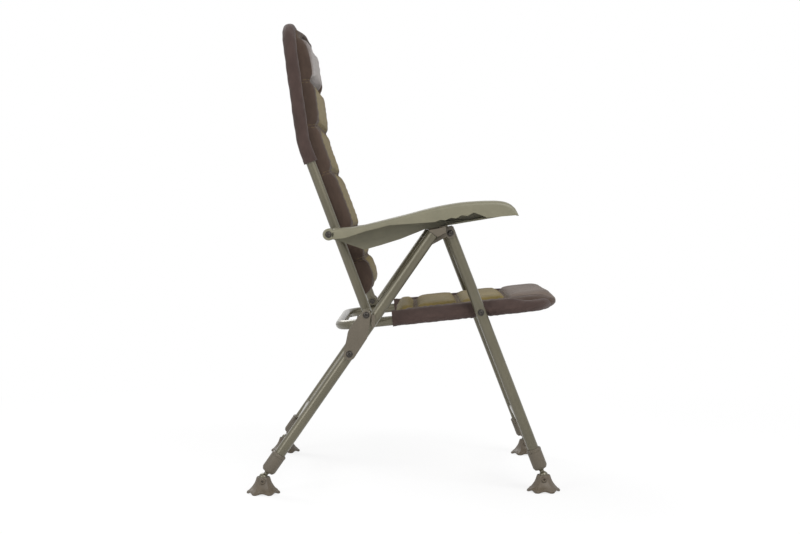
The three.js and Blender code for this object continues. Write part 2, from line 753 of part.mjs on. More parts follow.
// A closed grid: place(station, share across, height) gives each point, and the two faces meet at the rim
function cushion({ stations, columns, over, under, place }) {
	const last = flat(stations.length - 1, columns.length - 1);
	const points = [];
	const grid = [over, under].map((height) => stations.map((station, i) => columns.map((column, j) => {
		const onRim = i === 0 || j === 0 || i === last.x || j === last.y;
		if (onRim && height === under) return null;
		points.push(place(station, column, height(station, column, onRim)));
		return points.length - 1;
	})));
	const index = (face, i, j) => grid[face][i][j] ?? grid[0][i][j];
	const triangles = [];
	for (let i = 0; i < last.x; i += 1) {
		for (let j = 0; j < last.y; j += 1) {
			for (const face of [0, 1]) {
				const [a, b, c, d] = [
					index(face, i, j), index(face, i + 1, j), index(face, i + 1, j + 1), index(face, i, j + 1),
				];
				triangles.push(...(face === 0 ? [a, b, c, a, c, d] : [a, c, b, a, d, c]));
			}
		}
	}
	const geometry = new THREE.BufferGeometry().setFromPoints(points);
	geometry.setIndex(triangles);
	return geometry;
}

const seatNutRoom = rodAcross(seatBolt, headRadius + softGap / 2, -seatFace, seatFace);

// Seat pad, grooved to lie over the front bend of the seat frame
function seatPad() {
	const seams = blocksOf(-seatPadRear, seatPadFront, seatSeamShares);
	const halfWidth = seatSideOut - sleeveRadius - softGap;
	const edgeOf = (station, column) => Math.min(
		roundOff(station - seams[0], seatPadTail), roundOff(seams.at(-1) - station, seatPadNose),
		roundOff((1 - Math.abs(column)) * halfWidth, seatPadEdge),
	);
	const plump = (station) => roundOff(Math.min(...seams.map((seam) => Math.abs(station - seam))), seamWidth);
	const pad = cushion({
		stations: stationsOf(seams, seatPadTail, seatPadNose),
		columns: acrossShares(seatPadEdge / halfWidth),
		over: (station, column) => {
			const crown = seatPadCrown * (1 - column ** 2);
			const quilting = seatPadPlump * (plump(station) - 1 + column ** 2);
			return seatPadRim + (seatPadSide + crown + quilting - seatPadRim) * edgeOf(station, column);
		},
		under: (station, column) => seatPadRim - (seatPadRim + seatPadUnder) * edgeOf(station, column) ** 0.5,
		place: (station, column, height) => seatAt(
			station, -column * narrowed(halfWidth, seatPadFront - station, seatCornerRadius), height,
		),
	});
	return cutBy(pad, tubeAlong(seatFront, frameRadius + softGap / 2), seatNutRoom);
}

add('seat_pad', seatPad(), khakiCloth);

// Sleeves: cloth round each side tube, raised beside the pad and notched round the front bolt
function seatSleeve() {
	const outline = new THREE.Shape();
	outline.absarc(0, 0, sleeveRadius, -Math.PI, Math.PI * 0.12, false);
	outline.quadraticCurveTo(sleeveRadius * 0.75, sleeveRise, 0, sleeveRise);
	outline.lineTo(-sleeveRadius, sleeveRise);
	outline.closePath();
	outline.holes.push(new THREE.Path(polygon(frameRadius + fitGap, tubeSides).reverse()));
	const run = new THREE.ExtrudeGeometry(outline, {
		depth: seatPadRear + sleeveFront, bevelEnabled: false, curveSegments: 6,
	});
	const back = new THREE.Vector3(0, Math.cos(seatPitch), -Math.sin(seatPitch));
	const up = new THREE.Vector3(0, Math.sin(seatPitch), Math.cos(seatPitch));
	run.applyMatrix4(new THREE.Matrix4().makeBasis(new THREE.Vector3(-1, 0, 0), up, back));
	run.translate(...seatAt(sleeveFront, seatSideOut).toArray());
	const window = new THREE.Shape([
		seatSide(-sleeveNotch / 2, -sleeveRise), seatSide(sleeveNotch / 2, -sleeveRise),
		seatSide(sleeveNotch / 2, sleeveRise * 0.7), seatSide(-sleeveNotch / 2, sleeveRise * 0.7),
	]);
	return cutBy(run, plate(window, seatSideOut, armIn), seatNutRoom);
}

addPair('seat_sleeve', seatSleeve(), brownCloth);

// A point of the back at a distance along its bent tubes and in front of their axis
const bendRun = backBendRadius * Math.tan(backBend / 2);
function backSide(along, ahead) {
	const before = backBendReach - bendRun;
	const turn = THREE.MathUtils.clamp((along - before) / backBendRadius, 0, backBend);
	const centre = stepped(hinge, backLean, before, backBendRadius);
	const onBend = stepped(centre, backLean - turn, 0, -backBendRadius);
	const rest = along < before ? along - before : Math.max(along - before - backBendRadius * backBend, 0);
	return stepped(onBend, backLean - turn, rest, ahead);
}

const backClearance = () => tubeAlong(backHoop(panelFoot - backPadFoot), backSleeveRadius + softGap / 2);

// Cloth panel in the plane of the back's tubes
function backPanel() {
	const stations = [panelFoot, backBendReach - bendRun, backBendReach, backBendReach + bendRun, panelTop];
	const outline = [
		...stations.map((along) => backSide(along, panelThickness / 2)),
		...stations.reverse().map((along) => backSide(along, -panelThickness / 2)),
	];
	return plate(outline.reverse(), panelInset - backSideOut, backSideOut - panelInset);
}

add('back_panel', cutBy(backPanel(), backClearance()), brownCloth);

// Back pad, with a recess for the pillow and a roll above it
const backSeams = blocksOf(backPadFoot, backPadTop, backSeamShares);

function backPad() {
	const halfWidth = backSideOut - backSleeveRadius + softGap;
	const blockOf = (station) => Math.max(backSeams.findLastIndex((seam) => station > seam), 0);
	const seamLevel = (block) => Math.min(backFrontShares[block], backFrontShares[block + 1] ?? 1) * backPadFront;
	const frontOf = (station) => {
		const block = Math.min(blockOf(station), backFrontShares.length - 1);
		const full = backFrontShares[block] * backPadFront;
		const [low, high] = [station - backSeams[block], backSeams[block + 1] - station];
		const seam = low < high ? seamLevel(Math.max(block - 1, 0)) : seamLevel(block);
		const floor = Math.min(seam, full) - backPadPlump / 2;
		return floor + (full + backPadPlump / 2 - floor) * roundOff(Math.min(low, high), seamWidth);
	};
	const edgeOf = (station, column) => Math.min(
		roundOff(station - backSeams[0], backPadEdge), roundOff(backSeams.at(-1) - station, backPadEdge),
		roundOff((1 - Math.abs(column)) * halfWidth, backPadEdge),
	);
	const rim = backPadRear + backPadPlump / 2;
	const pad = cushion({
		stations: stationsOf(backSeams, backPadEdge, backPadEdge),
		columns: acrossShares(backPadEdge / halfWidth),
		over: (station, column) => rim + (frontOf(station) - rim) * edgeOf(station, column),
		under: (station, column) => rim - (rim - backPadRear) * edgeOf(station, column),
		place: (station, column, ahead) => spot(
			backSide(station, ahead), column * narrowed(halfWidth, backPadTop - station, backPadCorner),
		),
	});
	return cutBy(pad, backClearance());
}

add('back_pad', backPad(), khakiCloth);
add('back_sleeve', tubeAlong(backHoop(backSleeveFoot), backSleeveRadius, frameRadius + fitGap), brownCloth);

// Pillow, in front of the pad's recess
function pillow() {
	const [from, to] = [backSeams[pillowBlock] + softGap, backSeams[pillowBlock + 1] - softGap];
	const half = pillowThickness / 2;
	const middle = backFrontShares[pillowBlock] * backPadFront + (backPadPlump + softGap) / 2 + half;
	const edgeOf = (station, column) => Math.min(
		roundOff(station - from, pillowEdge), roundOff(to - station, pillowEdge),
		roundOff((1 - Math.abs(column)) * (pillowWidth / 2), pillowEdge),
	);
	return cushion({
		stations: stationsOf([from, to], pillowEdge, pillowEdge),
		columns: acrossShares((2 * pillowEdge) / pillowWidth),
		over: (station, column) => middle + half * edgeOf(station, column),
		under: (station, column) => middle - half * edgeOf(station, column),
		place: (station, column, ahead) => spot(backSide(station, ahead), (column * pillowWidth) / 2),
	});
}

add('pillow', pillow(), pillowCloth);

export default chair;
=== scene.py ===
"""A reclining carp fishing chair, dressed for its photograph.

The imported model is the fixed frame. Every class below stands for one sub-assembly of the chair:
it holds its sizes in millimetres, builds its pieces with bmesh, and hands them to the workshop,
which scales them to metres, gives them their finish and sets them on the body that carries them.
"""

import json
import logging
import math
from dataclasses import dataclass, field
from enum import Enum
from typing import Callable, Sequence

import bmesh
import bpy
import numpy as np
from mathutils import Matrix, Quaternion, Vector

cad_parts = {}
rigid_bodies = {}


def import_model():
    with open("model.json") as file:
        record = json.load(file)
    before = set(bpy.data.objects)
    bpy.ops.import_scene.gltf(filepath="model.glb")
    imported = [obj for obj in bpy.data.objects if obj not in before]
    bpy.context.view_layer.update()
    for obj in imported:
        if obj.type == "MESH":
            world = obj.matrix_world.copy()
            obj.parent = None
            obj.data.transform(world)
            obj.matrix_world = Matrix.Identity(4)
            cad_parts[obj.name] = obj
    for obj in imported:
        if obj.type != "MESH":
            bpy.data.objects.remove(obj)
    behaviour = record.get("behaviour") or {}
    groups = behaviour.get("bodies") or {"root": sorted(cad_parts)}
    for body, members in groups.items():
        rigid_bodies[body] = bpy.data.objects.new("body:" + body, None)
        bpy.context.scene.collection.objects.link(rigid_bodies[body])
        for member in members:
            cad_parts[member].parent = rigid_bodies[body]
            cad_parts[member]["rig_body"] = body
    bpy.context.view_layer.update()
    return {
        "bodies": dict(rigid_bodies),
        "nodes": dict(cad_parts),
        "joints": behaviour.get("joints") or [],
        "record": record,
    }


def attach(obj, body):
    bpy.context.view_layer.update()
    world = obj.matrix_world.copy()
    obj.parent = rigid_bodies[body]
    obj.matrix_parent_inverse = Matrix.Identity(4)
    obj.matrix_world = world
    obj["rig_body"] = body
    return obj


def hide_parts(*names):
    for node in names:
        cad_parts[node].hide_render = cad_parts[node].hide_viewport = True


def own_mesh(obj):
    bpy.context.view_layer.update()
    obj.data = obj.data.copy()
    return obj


LOG = logging.getLogger("carp_chair")
MILLIMETRE = 0.001


class Hand(Enum):
    """The sitter's two sides, with the sign of X on each."""

    RIGHT = -1
    LEFT = 1

    def node(self, stem: str) -> str:
        """Names this side's node."""
        return f"{stem}_{self.name.lower()}"


class Slot(Enum):
    """The finishes that the record names."""

    FRAME_PAINT = "frame_paint"
    ARM_MOULDING = "arm_moulding"
    FITTING_MOULDING = "fitting_moulding"
    FOOT_MOULDING = "foot_moulding"
    BOLT_STEEL = "bolt_steel"
    PAD_CLOTH = "pad_cloth"
    EDGE_CLOTH = "edge_cloth"
    PILLOW_CLOTH = "pillow_cloth"


@dataclass(frozen=True)
class Spot:
    """A point in side view, in millimetres: forward of the middle of the feet, and up from the floor."""

    forward: float
    height: float

    def stepped(self, angle: float, reach: float, offset: float = 0.0) -> "Spot":
        """Steps away from the spot.

        Args:
            angle: the heading of the step, in radians from straight forward.
            reach: how far to go along the heading.
            offset: how far to go to the right of the heading.

        Returns:
            The spot that is reached.
        """
        return Spot(
            self.forward + reach * math.cos(angle) + offset * math.sin(angle),
            self.height + reach * math.sin(angle) - offset * math.cos(angle),
        )

    def heading_to(self, other: "Spot") -> float:
        """Gives the heading from here to the other spot, in radians from straight forward."""
        return math.atan2(other.height - self.height, other.forward - self.forward)

    def distance_to(self, other: "Spot") -> float:
        """Gives the distance from here to the other spot."""
        return math.hypot(other.height - self.height, other.forward - self.forward)

    def at(self, out: float = 0.0) -> Vector:
        """Gives the point in the frame, that far towards the sitter's left."""
        return Vector((out, -self.forward, self.height))


@dataclass(frozen=True)
class Lines:
    """The chair's pivots, tube sizes and layers, as the source of the solids has them."""

    apex: Spot = Spot(104.7, 589.0)
    seat_bolt: Spot = Spot(174.3, 409.0)
    hinge: Spot = Spot(-84.4, 406.0)
    link_bolt: Spot = Spot(-122.4, 318.0)
    rear_ball: Spot = Spot(-318.4, 36.0)
    ball_height: float = 36.0
    seat_pitch: float = math.radians(6.0)
    seat_out: float = 228.0
    back_out: float = 222.0
    back_lean: float = math.radians(110.6)
    back_bend: float = math.radians(12.8)
    back_bend_reach: float = 417.0
    back_bend_radius: float = 170.0
    back_upper_reach: float = 266.5
    rear_past_link: float = 328.0
    front_past_apex: float = 9.0
    frame_radius: float = 11.0
    leg_radius: float = 12.5
    inner_leg_radius: float = 10.2
    front_leg_out: float = 254.1
    rear_leg_out: float = 284.1
    plate_in: float = 266.9
    plate_out: float = 271.3
    link_in: float = 298.1
    link_out: float = 304.1
    arm_in: float = 246.0
    arm_out: float = 306.0
    fit_gap: float = 0.3

    @property
    def arm_bolt(self) -> Spot:
        """The bolt at an armrest's rear end."""
        return self.hinge.stepped(math.radians(115.0), 199.0)

    @property
    def rear_heading(self) -> float:
        """The rear legs' heading, up from their balls."""
        return self.rear_ball.heading_to(self.link_bolt)

    @property
    def front_heading(self) -> float:
        """The front legs' heading, up from their balls."""
        return self.seat_bolt.heading_to(self.apex)

    @property
    def front_ball(self) -> Spot:
        """The ball at a front leg's foot."""
        drop = (self.ball_height - self.seat_bolt.height) / math.sin(self.front_heading)
        return self.seat_bolt.stepped(self.front_heading, drop)

    @property
    def rear_length(self) -> float:
        """The reach of a rear leg's tube from its ball."""
        return self.rear_ball.distance_to(self.link_bolt) + self.rear_past_link

    @property
    def front_length(self) -> float:
        """The reach of a front leg's tube from its ball."""
        return self.front_ball.distance_to(self.apex) + self.front_past_apex

    def seat_side(self, along: float, lift: float = 0.0) -> Spot:
        """Gives a spot forward of the front bolt along the seat's pitch, and above its tubes' axis."""
        return self.seat_bolt.stepped(self.seat_pitch, along, -lift)


class Value:
    """A shader socket that Python's operators turn into Math nodes."""

    def __init__(self, sheet: "Recipe", socket: bpy.types.NodeSocket) -> None:
        """Keeps the socket and the recipe that its nodes go into."""
        self.sheet = sheet
        self.socket = socket

    def _maths(self, operation: str, first: "Value | float", second: "Value | float" = 0.0) -> "Value":
        """Adds one Math node.

        Args:
            operation: the node's operation.
            first: its first value.
            second: its second value.

        Returns:
            The node's result.
        """
        return self.sheet.node("ShaderNodeMath", {"operation": operation}, {0: first, 1: second})

    def __add__(self, other: "Value | float") -> "Value":
        """Adds."""
        return self._maths("ADD", self, other)

    def __radd__(self, other: float) -> "Value":
        """Adds, reflected."""
        return self._maths("ADD", other, self)

    def __sub__(self, other: "Value | float") -> "Value":
        """Subtracts."""
        return self._maths("SUBTRACT", self, other)

    def __rsub__(self, other: float) -> "Value":
        """Subtracts, reflected."""
        return self._maths("SUBTRACT", other, self)

    def __mul__(self, other: "Value | float") -> "Value":
        """Multiplies."""
        return self._maths("MULTIPLY", self, other)

    def __rmul__(self, other: float) -> "Value":
        """Multiplies, reflected."""
        return self._maths("MULTIPLY", other, self)

    def __truediv__(self, other: "Value | float") -> "Value":
        """Divides."""
        return self._maths("DIVIDE", self, other)

    def __pow__(self, other: float) -> "Value":
        """Raises to a power."""
        return self._maths("POWER", self, other)

    def __abs__(self) -> "Value":
        """Drops the sign."""
        return self._maths("ABSOLUTE", self)

    def sine(self) -> "Value":
        """Takes the sine."""
        return self._maths("SINE", self)

    def least(self, other: "Value | float") -> "Value":
        """Takes the smaller of the two."""
        return self._maths("MINIMUM", self, other)

    def ramped(self, low: float, high: float) -> "Value":
        """Rises smoothly from 0 at low to 1 at high, either way round."""
        return self.sheet.node(
            "ShaderNodeMapRange", {"interpolation_type": "SMOOTHSTEP"},
            {0: self, 1: low, 2: high, 3: 0.0, 4: 1.0},
        )


Colour = tuple[float, float, float]


class Recipe:
    """One material's node sheet."""

    def __init__(self, name: str) -> None:
        """Starts a material with only its output and shader."""
        self.material = bpy.data.materials.new(name)
        self.material.use_nodes = True
        self.tree = self.material.node_tree
        self.tree.nodes.clear()
        self.shader = self.tree.nodes.new("ShaderNodeBsdfPrincipled")
        self.output = self.tree.nodes.new("ShaderNodeOutputMaterial")
        self.tree.links.new(self.shader.outputs[0], self.output.inputs["Surface"])

    def node(self, kind: str, settings: dict, values: dict, result: int | str = 0) -> Value:
        """Adds a node.

        Args:
            kind: the node's type.
            settings: its own settings, which are set first.
            values: numbers, colours or links for its inputs, by name or place.
            result: the output that is wanted, by name or place.

        Returns:
            That output.
        """
        made = self.tree.nodes.new(kind)
        for key, setting in settings.items():
            setattr(made, key, setting)
        for key, value in values.items():
            self.feed(made.inputs[key], value)
        return Value(self, made.outputs[result])

    def feed(self, socket: bpy.types.NodeSocket, value: "Value | float | Sequence[float]") -> None:
        """Links a value to a socket, or sets it there."""
        if isinstance(value, Value):
            self.tree.links.new(value.socket, socket)
        elif isinstance(value, (int, float)) or len(socket.default_value) == len(value):
            socket.default_value = value
        else:
            socket.default_value = (*value, 1.0)

    def place(self) -> Value:
        """Gives the object coordinates."""
        return self.node("ShaderNodeTexCoord", {}, {}, "Object")

    def noise(self, place: Value, scale: float, detail: float = 2.0, roughness: float = 0.5) -> Value:
        """Adds a noise pattern.

        Args:
            place: where the pattern is read.
            scale: its cycles in a metre.
            detail: its octaves.
            roughness: how strong the finer octaves are.

        Returns:
            The pattern, from 0 to 1.
        """
        return self.node(
            "ShaderNodeTexNoise", {},
            {"Vector": place, "Scale": scale, "Detail": detail, "Roughness": roughness},
        )

    def mixed(self, share: Value | float, first: Value | Colour, second: Value | Colour) -> Value:
        """Mixes two colours, with share 0 giving the first."""
        return self.node(
            "ShaderNodeMix", {"data_type": "RGBA", "clamp_factor": True}, {0: share, 6: first, 7: second}, 2,
        )

    def attribute(self, name: str, result: str) -> Value:
        """Reads the piece's own attribute of that name."""
        return self.node("ShaderNodeAttribute", {"attribute_name": name}, {}, result)

    def bump(self, height: Value, depth: float, strength: float = 1.0) -> None:
        """Sends a height pattern to the shader's normal, at that depth in metres."""
        normal = self.node("ShaderNodeBump", {}, {"Height": height, "Distance": depth, "Strength": strength})
        self.feed(self.shader.inputs["Normal"], normal)

    def set(self, **values: "Value | float | Colour") -> None:
        """Feeds the shader's sockets, whose names are given with underscores for spaces."""
        for key, value in values.items():
            self.feed(self.shader.inputs[key.replace("_", " ")], value)


def tinted(colour: Colour, share: float) -> Colour:
    """Makes a colour lighter or darker by a share."""
    return (colour[0] * share, colour[1] * share, colour[2] * share)


@dataclass(frozen=True)
class PaintedTube:
    """Semi-gloss olive-grey paint on metal, with orange peel and a little dust."""

    colour: Colour
    metallic: float = 0.45
    roughness: float = 0.3

    def dress(self, name: str) -> bpy.types.Material:
        """Makes the paint."""
        sheet = Recipe(name)
        place = sheet.place()
        cloud = sheet.noise(place, 14.0, 3.0)
        dust = sheet.noise(place, 160.0, 4.0, 0.65).ramped(0.5, 0.72)
        base = sheet.mixed(cloud.ramped(0.3, 0.7), tinted(self.colour, 0.93), tinted(self.colour, 1.07))
        sheet.set(
            Base_Color=sheet.mixed(dust * 0.12, base, tinted(self.colour, 1.5)),
            Metallic=self.metallic,
            Roughness=self.roughness + cloud * 0.06 + dust * 0.08,
            Coat_Weight=0.35,
            Coat_Roughness=0.18,
        )
        sheet.bump(sheet.noise(place, 900.0, 2.0), 0.00003)
        return sheet.material


@dataclass(frozen=True)
class MouldedPlastic:
    """Nylon moulding with a fine spark-eroded grain, and a paler bloom where hands and ground rub it."""

    colour: Colour
    roughness: float = 0.48
    grain: float = 0.00006
    bloom: float = 0.12

    def dress(self, name: str) -> bpy.types.Material:
        """Makes the moulding."""
        sheet = Recipe(name)
        place = sheet.place()
        cloud = sheet.noise(place, 22.0, 3.0)
        rubbed = sheet.noise(place, 75.0, 5.0, 0.7).ramped(0.48, 0.75)
        grain = sheet.noise(place, 1700.0, 2.0, 0.6)
        base = sheet.mixed(cloud.ramped(0.3, 0.7), tinted(self.colour, 0.94), tinted(self.colour, 1.06))
        sheet.set(
            Base_Color=sheet.mixed(rubbed * self.bloom, base, tinted(self.colour, 1.7)),
            Roughness=self.roughness + cloud * 0.06 + rubbed * 0.1,
            Specular_IOR_Level=0.5,
        )
        sheet.bump(grain + rubbed * 0.4, self.grain)
        return sheet.material


@dataclass(frozen=True)
class BlackenedSteel:
    """Blackened steel, brushed by the tools that turned it."""

    colour: Colour

    def dress(self, name: str) -> bpy.types.Material:
        """Makes the steel."""
        sheet = Recipe(name)
        place = sheet.place()
        streak = sheet.node("ShaderNodeMapping", {}, {"Vector": place, "Scale": (60.0, 900.0, 900.0)})
        marks = sheet.noise(streak, 1.0, 3.0)
        worn = sheet.noise(place, 240.0, 3.0).ramped(0.5, 0.7)
        sheet.set(
            Base_Color=sheet.mixed(worn * 0.5, self.colour, tinted(self.colour, 2.4)),
            Metallic=0.85,
            Roughness=0.3 + marks * 0.18,
        )
        sheet.bump(marks, 0.00002)
        return sheet.material


@dataclass(frozen=True)
class BrushedCloth:
    """Brushed cloth: a short nap over a woven ground, with soft marks where it was stroked.

    Where a piece has a zone or a panel attribute, the inner or the panel's colour lies where it is
    below 0, and where it has a seam attribute, two rows of stitches run beside the seam.
    """

    colour: Colour
    inner: Colour | None = None
    panel: Colour | None = None
    nap: float = 0.00035
    sheen: float = 0.16
    mottle: float = 0.16

    def dress(self, name: str) -> bpy.types.Material:
        """Makes the cloth."""
        sheet = Recipe(name)
        place = sheet.attribute("cloth", "Vector")
        stroke = sheet.node("ShaderNodeMapping", {}, {"Vector": place, "Scale": (1.0, 0.45, 1.0)})
        marks = sheet.noise(stroke, 38.0, 4.0, 0.6)
        fibre = sheet.noise(place, 700.0, 3.0, 0.65)
        weave = self._weave(sheet, place)
        colour: Value | Colour = self.colour
        edge: Value | None = None
        if self.inner:
            zone = sheet.attribute("zone", "Fac")
            colour = sheet.mixed(zone.ramped(-0.0004, 0.0004), self.inner, self.colour)
            edge = abs(zone + -0.003)
        if self.panel:
            colour = sheet.mixed(sheet.attribute("panel", "Fac").ramped(-0.0004, 0.0004), self.panel, colour)
        shade = sheet.node(
            "ShaderNodeMix", {"data_type": "RGBA", "blend_type": "MULTIPLY"},
            {0: 1.0, 6: colour, 7: self._shade(sheet, marks, fibre)}, 2,
        )
        beside = abs(abs(sheet.attribute("seam", "Fac")) + -0.003)
        stitch = self._stitches(sheet, place, beside if edge is None else beside.least(edge))
        sheet.set(
            Base_Color=sheet.mixed(stitch * 0.55, shade, tinted(self.inner or self.colour, 1.5)),
            Roughness=0.86 + fibre * 0.1,
            Sheen_Weight=self.sheen,
            Sheen_Roughness=0.45,
            Specular_IOR_Level=0.2,
        )
        sheet.bump(weave * 0.35 + fibre * 0.8 + marks * 1.2 + stitch * 1.5, self.nap)
        return sheet.material

    def _shade(self, sheet: Recipe, marks: Value, fibre: Value) -> Value:
        """Mixes a grey that the stroked nap and the fibres lighten and darken."""
        low = (1.0 - self.mottle,) * 3
        high = (1.0 + self.mottle,) * 3
        stroked = sheet.mixed(marks.ramped(0.32, 0.68), low, high)
        return sheet.mixed(fibre.ramped(0.35, 0.75) * 0.3, stroked, (1.25, 1.25, 1.25))

    def _weave(self, sheet: Recipe, place: Value) -> Value:
        """Weaves threads 1.1 mm apart across the cloth's own two directions."""
        parts = sheet.node("ShaderNodeSeparateXYZ", {}, {0: place})
        tree = parts.socket.node
        across = Value(sheet, tree.outputs[0]) * (2 * math.pi / 0.0022)
        along = Value(sheet, tree.outputs[1]) * (2 * math.pi / 0.0022)
        return across.sine() * along.sine()

    def _stitches(self, sheet: Recipe, place: Value, row: Value) -> Value:
        """Sews stitches 3.2 mm long where the row's distance is near nothing."""
        parts = sheet.node("ShaderNodeSeparateXYZ", {}, {0: place})
        tree = parts.socket.node
        run = Value(sheet, tree.outputs[0]) + Value(sheet, tree.outputs[1])
        dash = (run * (2 * math.pi / 0.0042)).sine().ramped(-0.5, -0.2)
        return row.ramped(0.0006, 0.0002) * dash


@dataclass
class Wardrobe:
    """Every finish of the chair, made once."""

    finishes: dict[Slot, PaintedTube | MouldedPlastic | BlackenedSteel | BrushedCloth]
    made: dict[Slot, bpy.types.Material] = field(default_factory=dict)

    def material(self, slot: Slot) -> bpy.types.Material:
        """Gives a slot's material, making it the first time."""
        if slot not in self.made:
            self.made[slot] = self.finishes[slot].dress(slot.value)
        return self.made[slot]


def arc(centre: Spot, radius: float, start: float, end: float, steps: int = 12) -> list[Spot]:
    """Draws part of a circle in side view.

    Args:
        centre: its centre.
        radius: its radius.
        start: the heading of its first point from the centre.
        end: the heading of its last point.
        steps: how many steps it takes.

    Returns:
        Its points, both ends included.
    """
    return [centre.stepped(start + (end - start) * i / steps, radius) for i in range(steps + 1)]


def strap_outline(low: Spot, high: Spot, low_radius: float, high_radius: float) -> list[Spot]:
    """Draws the outline of a strap round two circles in side view."""
    heading = low.heading_to(high)
    spread = math.acos((low_radius - high_radius) / low.distance_to(high))
    top = arc(high, high_radius, heading - spread, heading + spread)
    return top + arc(low, low_radius, heading + spread, heading - spread + 2 * math.pi)


def rounded_off(distance: np.ndarray, radius: float) -> np.ndarray:
    """Rises as a quarter circle does, from 0 at the edge to 1 at the radius."""
    return np.sqrt(1 - (1 - np.clip(distance / radius, 0, 1)) ** 2)


def bent_points(
    corners: Sequence[Vector], radii: Sequence[float], step: float = math.radians(5.0),
) -> list[Vector]:
    """Rounds the corners of a path.

    Args:
        corners: the path's ends and corners.
        radii: the bend at each inner corner.
        step: the turn between two points of a bend.

    Returns:
        The points of the path, close together only where it bends.
    """
    points = [corners[0].copy()]
    for i, radius in enumerate(radii, 1):
        back = (corners[i - 1] - corners[i]).normalized()
        ahead = (corners[i + 1] - corners[i]).normalized()
        half = back.angle(ahead) / 2
        centre = corners[i] + (back + ahead).normalized() * radius / math.sin(half)
        start = corners[i] + back * radius / math.tan(half) - centre
        end = corners[i] + ahead * radius / math.tan(half) - centre
        turn = start.angle(end)
        axis = start.cross(end).normalized()
        count = max(3, round(turn / step))
        points += [centre + Quaternion(axis, turn * k / count) @ start for k in range(count + 1)]
    points.append(corners[-1].copy())
    return points


def circle_section(radius: float, sides: int = 36) -> list[tuple[float, float]]:
    """Gives a round section as pairs of sideways and upward offsets."""
    return [
        (radius * math.cos(2 * math.pi * i / sides), radius * math.sin(2 * math.pi * i / sides))
        for i in range(sides)
    ]


def rings_along(
    points: Sequence[Vector], section: Callable[[int], Sequence[tuple[float, float]]], lift: Vector,
    closed: bool = False,
) -> list[list[Vector]]:
    """Sets a section square to a path at each of its points.

    Args:
        points: the path.
        section: gives the section's offsets for a point's number.
        lift: the direction of the section's upward offset at the start.
        closed: whether the path runs on from its last point to its first.

    Returns:
        One ring of points for each point of the path.
    """
    rings = []
    count = len(points)
    up = lift.copy()
    for i, point in enumerate(points):
        before = points[i - 1] if i or closed else point
        after = points[(i + 1) % count] if i < count - 1 or closed else point
        tangent = (after - before).normalized()
        up = (up - tangent * up.dot(tangent)).normalized()
        side = tangent.cross(up)
        rings.append([point + side * a + up * b for a, b in section(i)])
    return rings


